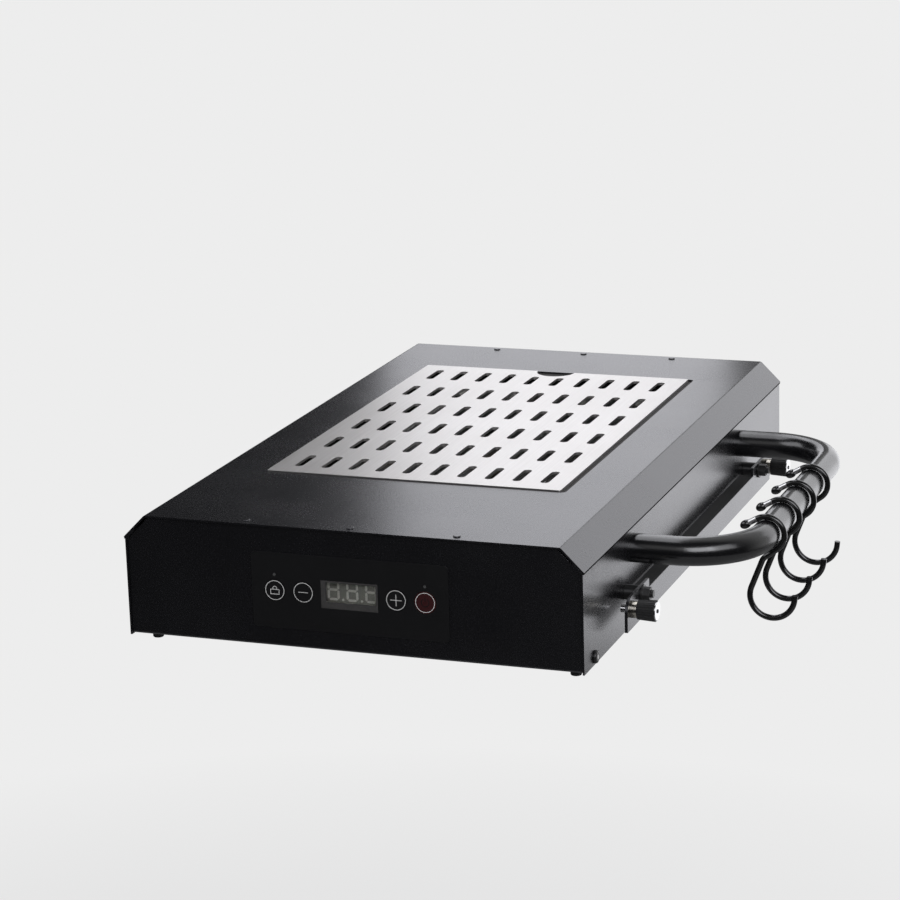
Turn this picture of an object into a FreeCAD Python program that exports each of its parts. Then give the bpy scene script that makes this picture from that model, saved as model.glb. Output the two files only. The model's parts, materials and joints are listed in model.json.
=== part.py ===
"""Electric infrared side burner: a sheet-steel box that hangs on a grill's side by a mounting plate.

Millimetres. X runs from the mounting plate (x = 0, left) out to the towel-bar handle (right), Y runs
from the control panel (front) to the mains inlet (rear), and Z is up. The origin is the centre of the
mounting plate's bolt pattern, on its outer face.
"""
import FreeCAD
import Part
import math
import os

from FreeCAD import Vector

X = Vector(1, 0, 0)
Y = Vector(0, 1, 0)
Z = Vector(0, 0, 1)
ROOT2 = math.sqrt(2.0)

# Housing
body_width = 310.0
body_depth = 502.0
body_height = 81.0
edge_chamfer = 15.0
sheet = 1.2
bend_radius = 2.4
wall_step = 0.9
wall_flange = 9.0
panel_inset = 1.0
panel_lift = 0.8
panel_flange = 24.0
seam_gap = 0.3
base_flange = 14.0
hole_gap = 0.15

# Mounting plate on the left wall
mount_plate = 3.0
mount_height = 33.0
mount_spacing_y = 180.0
mount_spacing_z = 24.0
mount_hole_radius = 3.3
mount_margin_y = 24.0
mount_margin_z = 9.0
mount_corner = 6.0
mount_rivet_radius = 2.4
mount_rivet_inset = 12.0
mount_rivet_head = 4.2
mount_rivet_head_height = 1.5

# Rubber feet and their screws
foot_radius = 3.6
foot_height = 7.2
foot_inset_x = 12.0
foot_inset_y = 18.0
foot_round = 0.8
foot_screw_radius = 1.25
foot_screw_head = 2.3
foot_screw_head_height = 1.8
foot_nut_flats = 5.0
foot_nut_height = 2.4

# Screws low on the side walls, and rivets along the cover's front and rear edges
side_screw_radius = 1.6
side_screw_head = 4.2
side_screw_head_height = 2.2
side_screw_length = 7.0
side_screw_end_inset = 21.7
side_screw_height = 5.2
cover_rivet_radius = 1.6
cover_rivet_head = 2.4
cover_rivet_head_height = 0.8
cover_rivet_inset = 6.5
cover_rivet_pitch = 71.0
cover_rivet_tail = 1.6

# Cooking grate
grate_width = 207.2
grate_thickness = 2.0
grate_front_margin = 118.7
grate_rear_margin = 70.8
grate_corner = 1.5
grate_gap = 2.0
grate_gap_left = 0.6
grate_gap_right = 3.8
grate_columns = 10
grate_rows = 6
slot_width = 5.9
slot_length = 28.5
slot_pitch_x = 19.4
slot_end_margin = 14.55
notch_radius = 14.5
notch_web = 5.0

# Burner pan, studs, insulation and support rails
pan_sheet = 0.8
pan_ledge = 7.0
pan_rim = 12.0
pan_depth = 44.0
pan_corner = 8.0
stud_radius = 2.0
stud_length = 8.0
stud_nut_flats = 7.0
stud_nut_height = 3.2
insulation_thickness = 18.0
insulation_margin = 4.0
support_rail_width = 32.0
support_rail_pitch = 160.0

# Quartz heating tubes, their holders and links
tube_count = 4
tube_pitch = 46.0
tube_radius = 5.5
tube_wall = 1.2
tube_drop = 17.0
filament_radius = 2.2
cap_radius = 7.5
cap_length = 14.0
cap_socket = 10.0
cap_neck_radius = 4.5
cap_neck_length = 4.0
tube_gap = 0.1
bracket_sheet = 1.0
bracket_setback = 16.0
bracket_foot = 10.0
bracket_rise = 10.0
terminal_radius = 1.6
terminal_length = 7.0
link_thickness = 1.2
link_width = 9.0
reflector_sheet = 0.6
reflector_flat = 18.0
reflector_ridge = 14.0
reflector_gap = 1.0

# Leads and bushings between the tubes and the power board
lead_radius = 1.8
bushing_radius = 5.0
bushing_collar = 7.0
bushing_collar_length = 2.0
bushing_length = 6.0
lead_bend = 9.0
lead_inset = 9.0

# Heat shield, limiter and temperature probe
shield_sheet = 0.8
shield_setback = 8.0
shield_half_width = 112.0
shield_foot = 12.0
shield_headroom = 8.0
limiter_radius = 8.0
limiter_length = 7.0
limiter_drop = 16.0
probe_radius = 1.5
probe_length = 62.0
probe_outside = 16.0
probe_nut_flats = 8.0
probe_nut_height = 4.0

# Control panel
panel_plate_width = 133.0
panel_plate_height = 50.0
panel_plate_rise = 38.2
panel_plate_corner = 3.0
overlay = 0.5
window_width = 38.6
window_height = 18.5
window_ledge = 1.2
window_gap = 0.1
key_radius = 7.2
key_gap = 0.2
key_lip = 0.9
key_lip_thickness = 1.0
key_travel = 0.5
key_margin = 0.15
key_stem_radius = 2.5
key_offset_inner = 31.4
key_offset_outer = 50.8
lamp_radius = 1.0
lamp_rise = 10.4

# Control board, display and switches behind the panel
board_thickness = 1.6
board_width = 124.0
board_height = 40.0
board_setback = 12.0
display_recess = 5.3
display_rise = 1.9
display_width = 37.6
display_height = 19.0
digit_height = 14.2
digit_width = 8.0
digit_pitch = 12.7
segment_width = 1.5
segment_gap = 0.25
segment_proud = 0.15
point_radius = 0.8
switch_size = 6.0
switch_height = 4.0
switch_tip_radius = 1.7
switch_tip = 1.2
post_radius = 3.0
post_inset = 5.0
post_screw_radius = 1.4
post_screw_head = 2.6
post_screw_head_height = 1.8
post_screw_length = 7.0

# Power board
power_width = 164.0
power_part_gap = 3.0
power_depth = 60.0
power_post_height = 10.0
power_gap = 10.0
relay_width = 29.0
relay_depth = 13.0
relay_height = 16.0
sink_width = 44.0
sink_depth = 22.0
sink_height = 26.0
sink_fins = 6
sink_fin = 1.6
sink_base = 4.0
transformer_width = 32.0
transformer_depth = 27.0
transformer_height = 24.0
terminal_block_width = 14.0
terminal_block_depth = 30.0
terminal_block_height = 15.0
ribbon_width = 14.0
ribbon_thickness = 1.0
ribbon_plug_width = 18.0
ribbon_plug_depth = 6.0
ribbon_plug_height = 7.0

# Mains inlet in the rear panel
inlet_offset = 34.9
inlet_rise = 36.0
inlet_flange_width = 50.0
inlet_flange_height = 24.0
inlet_flange = 2.5
inlet_body_width = 28.0
inlet_body_height = 20.5
inlet_body_depth = 24.0
inlet_socket_width = 24.4
inlet_socket_height = 16.4
inlet_socket_depth = 17.0
inlet_corner = 3.0
inlet_pin_pitch = 14.0
inlet_pin_drop = 4.0
inlet_pin_width = 2.0
inlet_pin_height = 4.0
inlet_pin_length = 14.0
inlet_screw_spacing = 40.0
inlet_screw_radius = 1.5
inlet_screw_head = 2.8
inlet_screw_head_height = 1.7
inlet_screw_length = 8.0
mains_lead_radius = 4.0
mains_lead_bend = 14.0
mains_lead_drop_run = 40.0

# Vents
vent_width = 4.0
vent_length = 26.0
vent_pitch = 10.0
vent_count = 12
floor_vent_length = 22.0

# Handle
fittings_y = -9.5
handle_radius = 9.5
handle_wall = 1.6
handle_reach = 75.0
handle_span = 267.5
handle_bend = 47.0
handle_rise = 50.4
insert_length = 20.0
handle_bolt_radius = 3.0
handle_bolt_head_flats = 10.0
handle_bolt_head_height = 4.0
handle_bolt_length = 16.0
handle_washer_radius = 9.0
handle_washer = 1.6

# Hooks on the handle
hook_wire = 1.95
hook_gap = 0.1
hook_slack = 0.5
hook_count = 4
hook_margin = 3.75
hook_pitch = 42.0
hook_tail_angle = 120.0
hook_tail_run = 9.0
hook_exit_angle = -54.0
hook_cross_run = 9.0
hook_turn_radius = 8.0
hook_bowl_radius = 14.9
hook_bowl_reach = 3.9
hook_bowl_drop = 42.2
hook_bowl_end_angle = -6.0
hook_tip_run = 3.0

# Accessory rail, its bolts and its thumb knobs
rail_length = 370.0
rail_sheet = 2.0
rail_standoff = 11.0
rail_bottom = 10.0
rail_height = 15.5
rail_tab_height = 21.5
rail_tab_length = 49.0
rail_tab_corner = 10.0
rail_bolt_spacing = 304.0
rail_bolt_rise = 26.2
rail_bolt_radius = 2.5
rail_bolt_head_flats = 8.0
rail_bolt_head_height = 3.5
rail_bolt_end = 2.0
rail_spacer_radius = 5.0
rail_nut_flats = 8.0
rail_nut_height = 4.5
rail_nut_flange = 5.8
rail_nut_flange_height = 1.2
knob_spacing = 350.0
knob_rise = 22.8
knob_screw_radius = 2.5
knob_screw_gap = 0.08
knob_screw_tip = 5.0
knob_ferrule_radius = 5.5
knob_ferrule_length = 4.0
knob_float = 0.3
knob_core_radius = 3.6
knob_core_gap = 0.05
knob_inner_radius = 6.3
knob_outer_radius = 6.9
knob_length = 11.5
knob_face_radius = 6.2
knob_face = 0.9
knob_recess_radius = 1.5
knob_recess = 0.6
knob_grooves = 24
knob_groove_radius = 0.55

# Housing places worked out from the sizes above
x_left = mount_plate - wall_step
x_right = x_left + body_width
x_mid = x_left + body_width / 2
left_out = mount_plate
left_in = left_out + sheet
right_out = x_right - wall_step
right_in = right_out - sheet
y_front = -body_depth / 2
y_rear = body_depth / 2
z_bottom = -mount_height
z_top = z_bottom + body_height
cover_under = z_top - sheet
flange_low = z_bottom + panel_lift
floor_low = flange_low + sheet
floor_top = floor_low + sheet
panel_front = y_front + panel_inset
panel_back = panel_front + sheet
rear_out = y_rear - panel_inset
rear_in = rear_out - sheet

# Burner places
grate_front = y_front + grate_front_margin
grate_rear = y_rear - grate_rear_margin
grate_middle = (grate_front + grate_rear) / 2
slot_row_span = grate_rear - grate_front - 2 * slot_end_margin - slot_length
slot_pitch_y = slot_row_span / (grate_rows - 1)
grate_half = grate_width / 2
opening_half = grate_half + (grate_gap_left + grate_gap_right) / 2
grate_x = x_mid + (grate_gap_left - grate_gap_right) / 2
rim_half = opening_half + pan_rim
rim_front = grate_front - grate_gap - pan_rim
rim_rear = grate_rear + grate_gap + pan_rim
well_half = grate_half - pan_ledge
well_front = grate_front + pan_ledge
well_rear = grate_rear - pan_ledge
rim_under = cover_under - pan_sheet
well_floor = cover_under - pan_depth
pan_bottom = well_floor - pan_sheet
tube_z = cover_under - tube_drop
bracket_front = well_front + bracket_setback
bracket_rear = well_rear - bracket_setback
tube_places = [x_mid + (i - (tube_count - 1) / 2) * tube_pitch for i in range(tube_count)]
shield_front = rim_front - shield_setback
probe_x = (tube_places[0] + tube_places[1]) / 2

# Control places
panel_z = z_bottom + panel_plate_rise
key_places = {
    "key_lock": x_mid - key_offset_outer,
    "key_minus": x_mid - key_offset_inner,
    "key_plus": x_mid + key_offset_inner,
    "key_power": x_mid + key_offset_outer,
}
lamp_places = [x_mid - key_offset_outer, x_mid + key_offset_outer]
overlay_front = panel_front - overlay
board_front = panel_back + board_setback
board_back = board_front + board_thickness
display_face = overlay_front + display_recess
switch_end = board_front - switch_height - switch_tip
power_front = board_back + power_gap
power_rear = power_front + power_depth
power_z = floor_top + power_post_height
power_top = power_z + board_thickness
inlet_x = right_in - inlet_offset
inlet_z = z_bottom + inlet_rise

# Right-hand fittings
bar_x = right_out + handle_reach
bar_z = z_bottom + handle_rise
hook_loop_radius = handle_radius + hook_wire + hook_slack
arm_places = [fittings_y - handle_span / 2, fittings_y + handle_span / 2]
rail_out = right_out + rail_standoff
rail_in = rail_out - rail_sheet
rail_bolt_places = [fittings_y - rail_bolt_spacing / 2, fittings_y + rail_bolt_spacing / 2]
rail_bolt_z = z_bottom + rail_bolt_rise
knob_places = {"front": fittings_y - knob_spacing / 2, "rear": fittings_y + knob_spacing / 2}
knob_z = z_bottom + knob_rise
foot_places = [
    (x_left + foot_inset_x, y_front + foot_inset_y),
    (x_right - foot_inset_x, y_front + foot_inset_y),
    (x_left + foot_inset_x, y_rear - foot_inset_y),
    (x_right - foot_inset_x, y_rear - foot_inset_y),
]
cover_rivet_places = [
    (x_mid + step * cover_rivet_pitch, y)
    for y in (y_front + cover_rivet_inset, y_rear - cover_rivet_inset)
    for step in (-1, 0, 1)
]
side_screw_places = [y_front + side_screw_end_inset, 0.0, y_rear - side_screw_end_inset]
side_screw_z = z_bottom + side_screw_height
mount_hole_places = [
    (y * mount_spacing_y / 2, z * mount_spacing_z / 2) for y in (-1, 1) for z in (-1, 1)
]
mount_rivet_places = [
    (y * (mount_spacing_y / 2 + mount_rivet_inset), 0.0) for y in (-1, 1)
]
stud_places = [
    (x_mid + side * (opening_half + pan_rim / 2), y)
    for side in (-1, 1)
    for y in (grate_front, grate_middle, grate_rear)
]


def block(x, y, z):
    """A box between the pairs of limits x, y and z."""
    return Part.makeBox(x[1] - x[0], y[1] - y[0], z[1] - z[0], Vector(x[0], y[0], z[0]))


def rod(start, axis, radius, length):
    return Part.makeCylinder(radius, length, start, axis)


def sleeve(start, axis, outer, inner, length):
    return rod(start, axis, outer, length).cut(rod(start, axis, inner, length))


def union(first, *others):
    return first.fuse(list(others)).removeSplitter()


def group(solids):
    return Part.makeCompound(solids)


def edges_along(shape, axis):
    """The straight edges that run along an axis."""
    found = []
    for edge in shape.Edges:
        if isinstance(edge.Curve, Part.Line) and abs(edge.Curve.Direction.dot(axis)) > 0.999:
            found.append(edge)
    return found


def edges_at(shape, axis, **place):
    """The straight edges along an axis whose middle lies at the given x, y or z."""
    found = []
    for edge in edges_along(shape, axis):
        middle = edge.CenterOfMass
        if all(abs(getattr(middle, name) - value) < 0.01 for name, value in place.items()):
            found.append(edge)
    return found


def rounded_block(x, y, z, axis, radius):
    """A box whose four edges along one axis are rounded."""
    solid = block(x, y, z)
    return solid.makeFillet(radius, edges_along(solid, axis))


def prism(points, travel):
    """A polygon of points, carried along a vector."""
    outline = Part.makePolygon(points + points[:1])
    return Part.Face(outline).extrude(travel)


def prism_y(outline, y_from, y_to):
    return prism([Vector(x, y_from, z) for x, z in outline], Y * (y_to - y_from))


def hexagon(centre, axis, flats, height):
    """A hexagonal prism on an axis, measured across its flats."""
    side = Z if abs(axis.z) < 0.5 else X
    other = axis.cross(side)
    corner = flats / math.sqrt(3.0)
    angles = [math.radians(60 * i + 30) for i in range(6)]
    points = [centre + side * (corner * math.cos(a)) + other * (corner * math.sin(a)) for a in angles]
    return prism(points, axis * height)


def round_head_screw(seat, axis, radius, length, head, head_height):
    """A screw whose domed head sits at seat, with its shank along axis."""
    shank = rod(seat, axis, radius, length)
    cap = rod(seat, axis * -1, head, head_height)
    rim = [e for e in cap.Edges if abs((e.CenterOfMass - seat).dot(axis) + head_height) < 0.01]
    return union(cap.makeFillet(head_height * 0.6, rim), shank)


def hex_bolt(seat, axis, radius, length, flats, head_height):
    head = hexagon(seat - axis * head_height, axis, flats, head_height)
    return union(head, rod(seat, axis, radius, length))


def hex_nut(seat, axis, flats, height, bore):
    return hexagon(seat, axis, flats, height).cut(rod(seat, axis, bore, height))


def rounded_path(points, bend):
    """Straight runs between points, joined by tangent arcs of one radius."""
    edges = []
    start = points[0]
    for before, corner, after in zip(points, points[1:], points[2:]):
        into = (corner - before).normalize()
        out = (after - corner).normalize()
        half_turn = into.getAngle(out) / 2
        back = bend * math.tan(half_turn)
        inward = (out - into).normalize()
        middle = corner + inward * (bend / math.cos(half_turn) - bend)
        arc_start = corner - into * back
        arc_end = corner + out * back
        edges.append(Part.LineSegment(start, arc_start).toShape())
        edges.append(Part.Arc(arc_start, middle, arc_end).toShape())
        start = arc_end
    edges.append(Part.LineSegment(start, points[-1]).toShape())
    return Part.Wire(edges)


def swept_rod(path, radius):
    first = path.OrderedEdges[0]
    start = first.valueAt(first.FirstParameter)
    heading = first.tangentAt(first.FirstParameter)
    section = Part.Wire(Part.makeCircle(radius, start, heading))
    return path.makePipeShell([section], True, False).Solids[0]


# Housing sheets

def top_cover():
    """Flat top and both sloping edges, folded from one sheet, with the grate's opening."""
    low = z_top - edge_chamfer
    cut = sheet / ROOT2
    fold = edge_chamfer + sheet * (ROOT2 - 1)
    outline = [
        (x_left, low),
        (x_left + edge_chamfer, z_top),
        (x_right - edge_chamfer, z_top),
        (x_right, low),
        (x_right - cut, low - cut),
        (x_right - fold, cover_under),
        (x_left + fold, cover_under),
        (x_left + cut, low - cut),
    ]
    cover = prism_y(outline, y_front, y_rear)
    folds = edges_at(cover, Y, z=z_top)
    cover = cover.makeFillet(bend_radius, folds)
    opening = rounded_block(
        (x_mid - opening_half, x_mid + opening_half),
        (grate_front - grate_gap, grate_rear + grate_gap),
        (cover_under - sheet, z_top + sheet),
        Z,
        grate_corner + grate_gap,
    )
    holes = [
        rod(Vector(x, y, cover_under), Z, cover_rivet_radius + hole_gap, sheet)
        for x, y in cover_rivet_places
    ]
    return cover.cut([opening] + holes)


def side_wall(outer_x, inward):
    """A flat wall whose top is folded under the cover's sloping edge; inward is +1 on the left wall."""
    inner_x = outer_x + inward * sheet
    edge_x = x_left if inward > 0 else x_right
    slope = z_top - edge_chamfer - sheet * ROOT2
    bend_z = slope + abs(outer_x - edge_x)
    inner_bend_z = bend_z - sheet * ROOT2 + sheet
    run = wall_flange / ROOT2
    cut = sheet / ROOT2
    outline = [
        (outer_x, z_bottom),
        (outer_x, bend_z),
        (outer_x + inward * run, bend_z + run),
        (outer_x + inward * (run + cut), bend_z + run - cut),
        (inner_x, inner_bend_z),
        (inner_x, z_bottom),
    ]
    wall = prism_y(outline, y_front, y_rear)
    start = Vector(outer_x - inward * sheet, 0, 0)
    through = X * inward
    return wall, [
        rod(start + Vector(0, y, side_screw_z), through, side_screw_radius + hole_gap, 3 * sheet)
        for y in side_screw_places
    ]


def left_wall():
    wall, holes = side_wall(left_out, 1)
    for y, z in mount_hole_places:
        holes.append(rod(Vector(0, y, z), X, mount_hole_radius, left_in))
    for y, z in mount_rivet_places:
        holes.append(rod(Vector(0, y, z), X, mount_rivet_radius + hole_gap, left_in))
    return wall.cut(holes)


def right_wall():
    wall, holes = side_wall(right_out, -1)
    for y in arm_places:
        holes.append(rod(Vector(right_in, y, bar_z), X, handle_bolt_radius + hole_gap, sheet))
    for y in rail_bolt_places:
        holes.append(rod(Vector(right_in, y, rail_bolt_z), X, rail_bolt_radius + hole_gap, sheet))
    return wall.cut(holes)


def end_panel(outer_y, inward):
    """A front or rear panel with a flange under the cover and one under the floor."""
    left = left_in + seam_gap
    right = right_in - seam_gap
    clear = (2 * sheet + seam_gap) * ROOT2
    shoulder_z = z_top - edge_chamfer + wall_step - clear + sheet + seam_gap
    shoulder_x = edge_chamfer + clear - sheet
    inner_y = outer_y + inward * sheet
    flange_y = outer_y + inward * panel_flange
    outline = [
        (left, flange_low),
        (left, shoulder_z),
        (x_left + shoulder_x, cover_under),
        (x_right - shoulder_x, cover_under),
        (right, shoulder_z),
        (right, flange_low),
    ]
    plate = prism_y(outline, min(outer_y, inner_y), max(outer_y, inner_y))
    depth = (min(outer_y, flange_y), max(outer_y, flange_y))
    top_x = (x_left + shoulder_x + bend_radius, x_right - shoulder_x - bend_radius)
    upper = block(top_x, depth, (cover_under - sheet, cover_under))
    lower = block((left, right), depth, (flange_low, floor_low))
    panel = union(plate, upper, lower)
    panel = panel.makeFillet(bend_radius * 0.7, edges_at(panel, X, y=outer_y, z=flange_low))
    holes = []
    for x, y in cover_rivet_places:
        holes.append(rod(Vector(x, y, cover_under - sheet), Z, cover_rivet_radius + hole_gap, sheet))
    for x, y in foot_places:
        holes.append(rod(Vector(x, y, flange_low), Z, foot_screw_radius + hole_gap, sheet))
    return panel, holes


def front_panel():
    panel, holes = end_panel(panel_front, 1)
    half_width = window_width / 2 - window_ledge
    half_height = window_height / 2 - window_ledge
    holes.append(block(
        (x_mid - half_width, x_mid + half_width),
        (panel_front, panel_back),
        (panel_z - half_height, panel_z + half_height),
    ))
    for x in key_places.values():
        radius = key_radius + key_lip + key_gap
        holes.append(rod(Vector(x, panel_front, panel_z), Y, radius, sheet))
    for x in lamp_places:
        holes.append(rod(Vector(x, panel_front, panel_z + lamp_rise), Y, lamp_radius + hole_gap, sheet))
    return panel.cut(holes)


def rear_panel():
    panel, holes = end_panel(rear_out, -1)
    half_width = inlet_body_width / 2 + hole_gap
    half_height = inlet_body_height / 2 + hole_gap
    holes.append(block(
        (inlet_x - half_width, inlet_x + half_width),
        (rear_in, rear_out),
        (inlet_z - half_height, inlet_z + half_height),
    ))
    for side in (-1, 1):
        place = Vector(inlet_x + side * inlet_screw_spacing / 2, rear_in, inlet_z)
        holes.append(rod(place, Y, inlet_screw_radius + hole_gap, sheet))
    for i in range(vent_count):
        x = left_in + inlet_offset + i * vent_pitch
        holes.append(rounded_block(
            (x - vent_width / 2, x + vent_width / 2),
            (rear_in, rear_out),
            (inlet_z - vent_length / 2, inlet_z + vent_length / 2),
            Y,
            vent_width * 0.49,
        ))
    return panel.cut(holes)


def base_pan():
    """Floor on the end panels' lower flanges, with upturned sides against the walls."""
    depth = (panel_back + seam_gap, rear_in - seam_gap)
    floor = block((left_in, right_in), depth, (floor_low, floor_top))
    left_side = block((left_in, left_in + sheet), depth, (floor_low, floor_low + base_flange))
    right_side = block((right_in - sheet, right_in), depth, (floor_low, floor_low + base_flange))
    pan = union(floor, left_side, right_side)
    holes = []
    for x, y in foot_places:
        holes.append(rod(Vector(x, y, floor_low), Z, foot_screw_radius + hole_gap, sheet))
    for y in side_screw_places:
        for start in (left_in, right_in - sheet):
            holes.append(rod(Vector(start, y, side_screw_z), X, side_screw_radius + hole_gap, sheet))
    vent_row = (vent_count - 1) * vent_pitch
    for y in ((power_front + power_rear) / 2, (rim_rear + rear_out - panel_flange) / 2):
        for i in range(vent_count):
            x = x_mid - vent_row / 2 + i * vent_pitch
            holes.append(rounded_block(
                (x - vent_width / 2, x + vent_width / 2),
                (y - floor_vent_length / 2, y + floor_vent_length / 2),
                (floor_low, floor_top),
                Z,
                vent_width * 0.49,
            ))
    return pan.cut(holes)


def cover_rivets():
    """Blind rivets through the cover and the end panels' upper flanges."""
    rivets = []
    for x, y in cover_rivet_places:
        seat = Vector(x, y, z_top)
        length = 2 * sheet
        rivet = round_head_screw(
            seat, Z * -1, cover_rivet_radius, length, cover_rivet_head, cover_rivet_head_height
        )
        end = seat - Z * (length + cover_rivet_tail)
        tail = rod(end, Z, cover_rivet_radius + 2 * hole_gap, cover_rivet_tail)
        rivets.append(union(rivet, tail))
    return group(rivets)


def side_screws():
    screws = []
    for y in side_screw_places:
        for x, axis in ((left_out, X), (right_out, X * -1)):
            screws.append(round_head_screw(
                Vector(x, y, side_screw_z),
                axis,
                side_screw_radius,
                side_screw_length,
                side_screw_head,
                side_screw_head_height,
            ))
    return group(screws)


# Mounting plate

def mounting_plate():
    half_y = mount_spacing_y / 2 + mount_margin_y
    half_z = mount_spacing_z / 2 + mount_margin_z
    plate = rounded_block((0, mount_plate), (-half_y, half_y), (-half_z, half_z), X, mount_corner)
    holes = [rod(Vector(0, y, z), X, mount_hole_radius, mount_plate) for y, z in mount_hole_places]
    for y, z in mount_rivet_places:
        holes.append(rod(Vector(0, y, z), X, mount_rivet_radius + hole_gap, mount_plate))
    return plate.cut(holes)


def mounting_rivets():
    """Rivets flush with the plate's outer face, headed inside the wall."""
    rivets = []
    for y, z in mount_rivet_places:
        shank = rod(Vector(0, y, z), X, mount_rivet_radius, left_in)
        head = rod(Vector(left_in, y, z), X, mount_rivet_head, mount_rivet_head_height)
        rivets.append(union(shank, head))
    return group(rivets)


# Feet

def foot_seat_z():
    return flange_low - foot_height + foot_screw_head_height * 1.5


def rubber_feet():
    feet = []
    for x, y in foot_places:
        bottom = Vector(x, y, flange_low - foot_height)
        foot = rod(bottom, Z, foot_radius, foot_height)
        rim = [e for e in foot.Edges if abs(e.CenterOfMass.z - bottom.z) < 0.01]
        foot = foot.makeFillet(foot_round, rim)
        well = rod(bottom, Z, foot_screw_head + hole_gap, foot_seat_z() - bottom.z)
        bore = rod(bottom, Z, foot_screw_radius + hole_gap, foot_height)
        feet.append(foot.cut([well, bore]))
    return group(feet)


def foot_screws():
    screws = []
    for x, y in foot_places:
        seat = Vector(x, y, foot_seat_z())
        length = floor_top + foot_nut_height - seat.z
        screws.append(round_head_screw(
            seat, Z, foot_screw_radius, length, foot_screw_head, foot_screw_head_height
        ))
    return group(screws)


def foot_nuts():
    bore = foot_screw_radius + hole_gap
    return group([
        hex_nut(Vector(x, y, floor_top), Z, foot_nut_flats, foot_nut_height, bore) for x, y in foot_places
    ])


# Cooking grate and burner pan

def grate_slot(x, y_from, y_to):
    """An obround slot tool along Y."""
    r = slot_width / 2
    low = cover_under
    corners = [
        Vector(x - r, y_from + r, low),
        Vector(x - r, y_to - r, low),
        Vector(x + r, y_to - r, low),
        Vector(x + r, y_from + r, low),
    ]
    edges = [
        Part.LineSegment(corners[0], corners[1]).toShape(),
        Part.Arc(corners[1], Vector(x, y_to, low), corners[2]).toShape(),
        Part.LineSegment(corners[2], corners[3]).toShape(),
        Part.Arc(corners[3], Vector(x, y_from, low), corners[0]).toShape(),
    ]
    return Part.Face(Part.Wire(edges)).extrude(Z * grate_thickness)


def grate():
    """Slotted plate with a finger notch in its rear edge; slots beside the notch stop short of it."""
    plate = rounded_block(
        (grate_x - grate_half, grate_x + grate_half),
        (grate_front, grate_rear),
        (cover_under, cover_under + grate_thickness),
        Z,
        grate_corner,
    )
    cuts = [rod(Vector(grate_x, grate_rear, cover_under), Z, notch_radius, grate_thickness)]
    for column in range(grate_columns):
        x = grate_x + (column - (grate_columns - 1) / 2) * slot_pitch_x
        near = max(abs(x - grate_x) - slot_width / 2, 0.0)
        reach = math.sqrt(max((notch_radius + notch_web) ** 2 - near ** 2, 0.0))
        for row in range(grate_rows):
            middle = grate_middle + (row - (grate_rows - 1) / 2) * slot_pitch_y
            end = min(middle + slot_length / 2, grate_rear - reach)
            cuts.append(grate_slot(x, middle - slot_length / 2, end))
    return plate.cut(cuts)


def burner_pan():
    """Drawn pan: its rim lies under the cover and carries the grate on a ledge."""
    rim = rounded_block(
        (x_mid - rim_half, x_mid + rim_half), (rim_front, rim_rear), (rim_under, cover_under), Z, pan_corner
    )
    shell = rounded_block(
        (x_mid - well_half - pan_sheet, x_mid + well_half + pan_sheet),
        (well_front - pan_sheet, well_rear + pan_sheet),
        (pan_bottom, rim_under),
        Z,
        pan_corner + pan_sheet,
    )
    well = rounded_block(
        (x_mid - well_half, x_mid + well_half),
        (well_front, well_rear),
        (well_floor, cover_under),
        Z,
        pan_corner,
    )
    wall = well_front - pan_sheet
    holes = [well]
    for x in (tube_places[0], tube_places[-1]):
        holes.append(rod(Vector(x, wall, tube_z), Y, bushing_radius + hole_gap, pan_sheet))
    holes.append(rod(Vector(probe_x, wall, tube_z), Y, probe_radius + hole_gap, pan_sheet))
    for x, y in stud_places:
        holes.append(rod(Vector(x, y, rim_under), Z, stud_radius + hole_gap, pan_sheet))
    return union(rim, shell).cut(holes)


def pan_studs():
    """Studs welded under the cover."""
    return group([rod(Vector(x, y, cover_under), Z * -1, stud_radius, stud_length) for x, y in stud_places])


def pan_nuts():
    bore = stud_radius + hole_gap
    return group([
        hex_nut(Vector(x, y, rim_under), Z * -1, stud_nut_flats, stud_nut_height, bore)
        for x, y in stud_places
    ])


def insulation_board():
    return block(
        (x_mid - well_half + insulation_margin, x_mid + well_half - insulation_margin),
        (well_front + insulation_margin, well_rear - insulation_margin),
        (pan_bottom - insulation_thickness, pan_bottom),
    )


def support_rails():
    """Two channels that carry the insulation and the pan on the floor."""
    rails = []
    top = pan_bottom - insulation_thickness
    half = support_rail_width / 2
    length = (x_mid - well_half + insulation_margin, x_mid + well_half - insulation_margin)
    for side in (-1, 1):
        y = grate_middle + side * support_rail_pitch / 2
        outer = block(length, (y - half, y + half), (floor_top, top))
        inner = block(length, (y - half + sheet, y + half - sheet), (floor_top, top - sheet))
        rails.append(outer.cut(inner))
    return group(rails)


# Heating tubes

def cap_start(side):
    """The shoulder of an end cap, on its bracket's inner face: side is -1 at the front, +1 at the rear."""
    return bracket_front + bracket_sheet if side < 0 else bracket_rear - bracket_sheet


tube_start = cap_start(-1) + cap_length - cap_socket
tube_end = cap_start(1) - cap_length + cap_socket


def tube_bracket(side):
    """An angle that stands on the pan's floor, with a hole for each end cap's neck."""
    outer = bracket_front if side < 0 else bracket_rear
    inner = outer - side * bracket_sheet
    foot_end = outer + side * bracket_foot
    width = (tube_places[0] - tube_pitch / 2, tube_places[-1] + tube_pitch / 2)
    plate = block(width, (min(outer, inner), max(outer, inner)), (well_floor, tube_z + bracket_rise))
    foot_depth = (min(foot_end, outer), max(foot_end, outer))
    foot = block(width, foot_depth, (well_floor, well_floor + bracket_sheet))
    holes = [
        rod(Vector(x, min(outer, inner), tube_z), Y, cap_neck_radius + hole_gap, bracket_sheet)
        for x in tube_places
    ]
    if side < 0:
        holes.append(rod(Vector(probe_x, outer, tube_z), Y, probe_radius + hole_gap, bracket_sheet))
    return union(plate, foot).cut(holes)


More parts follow.
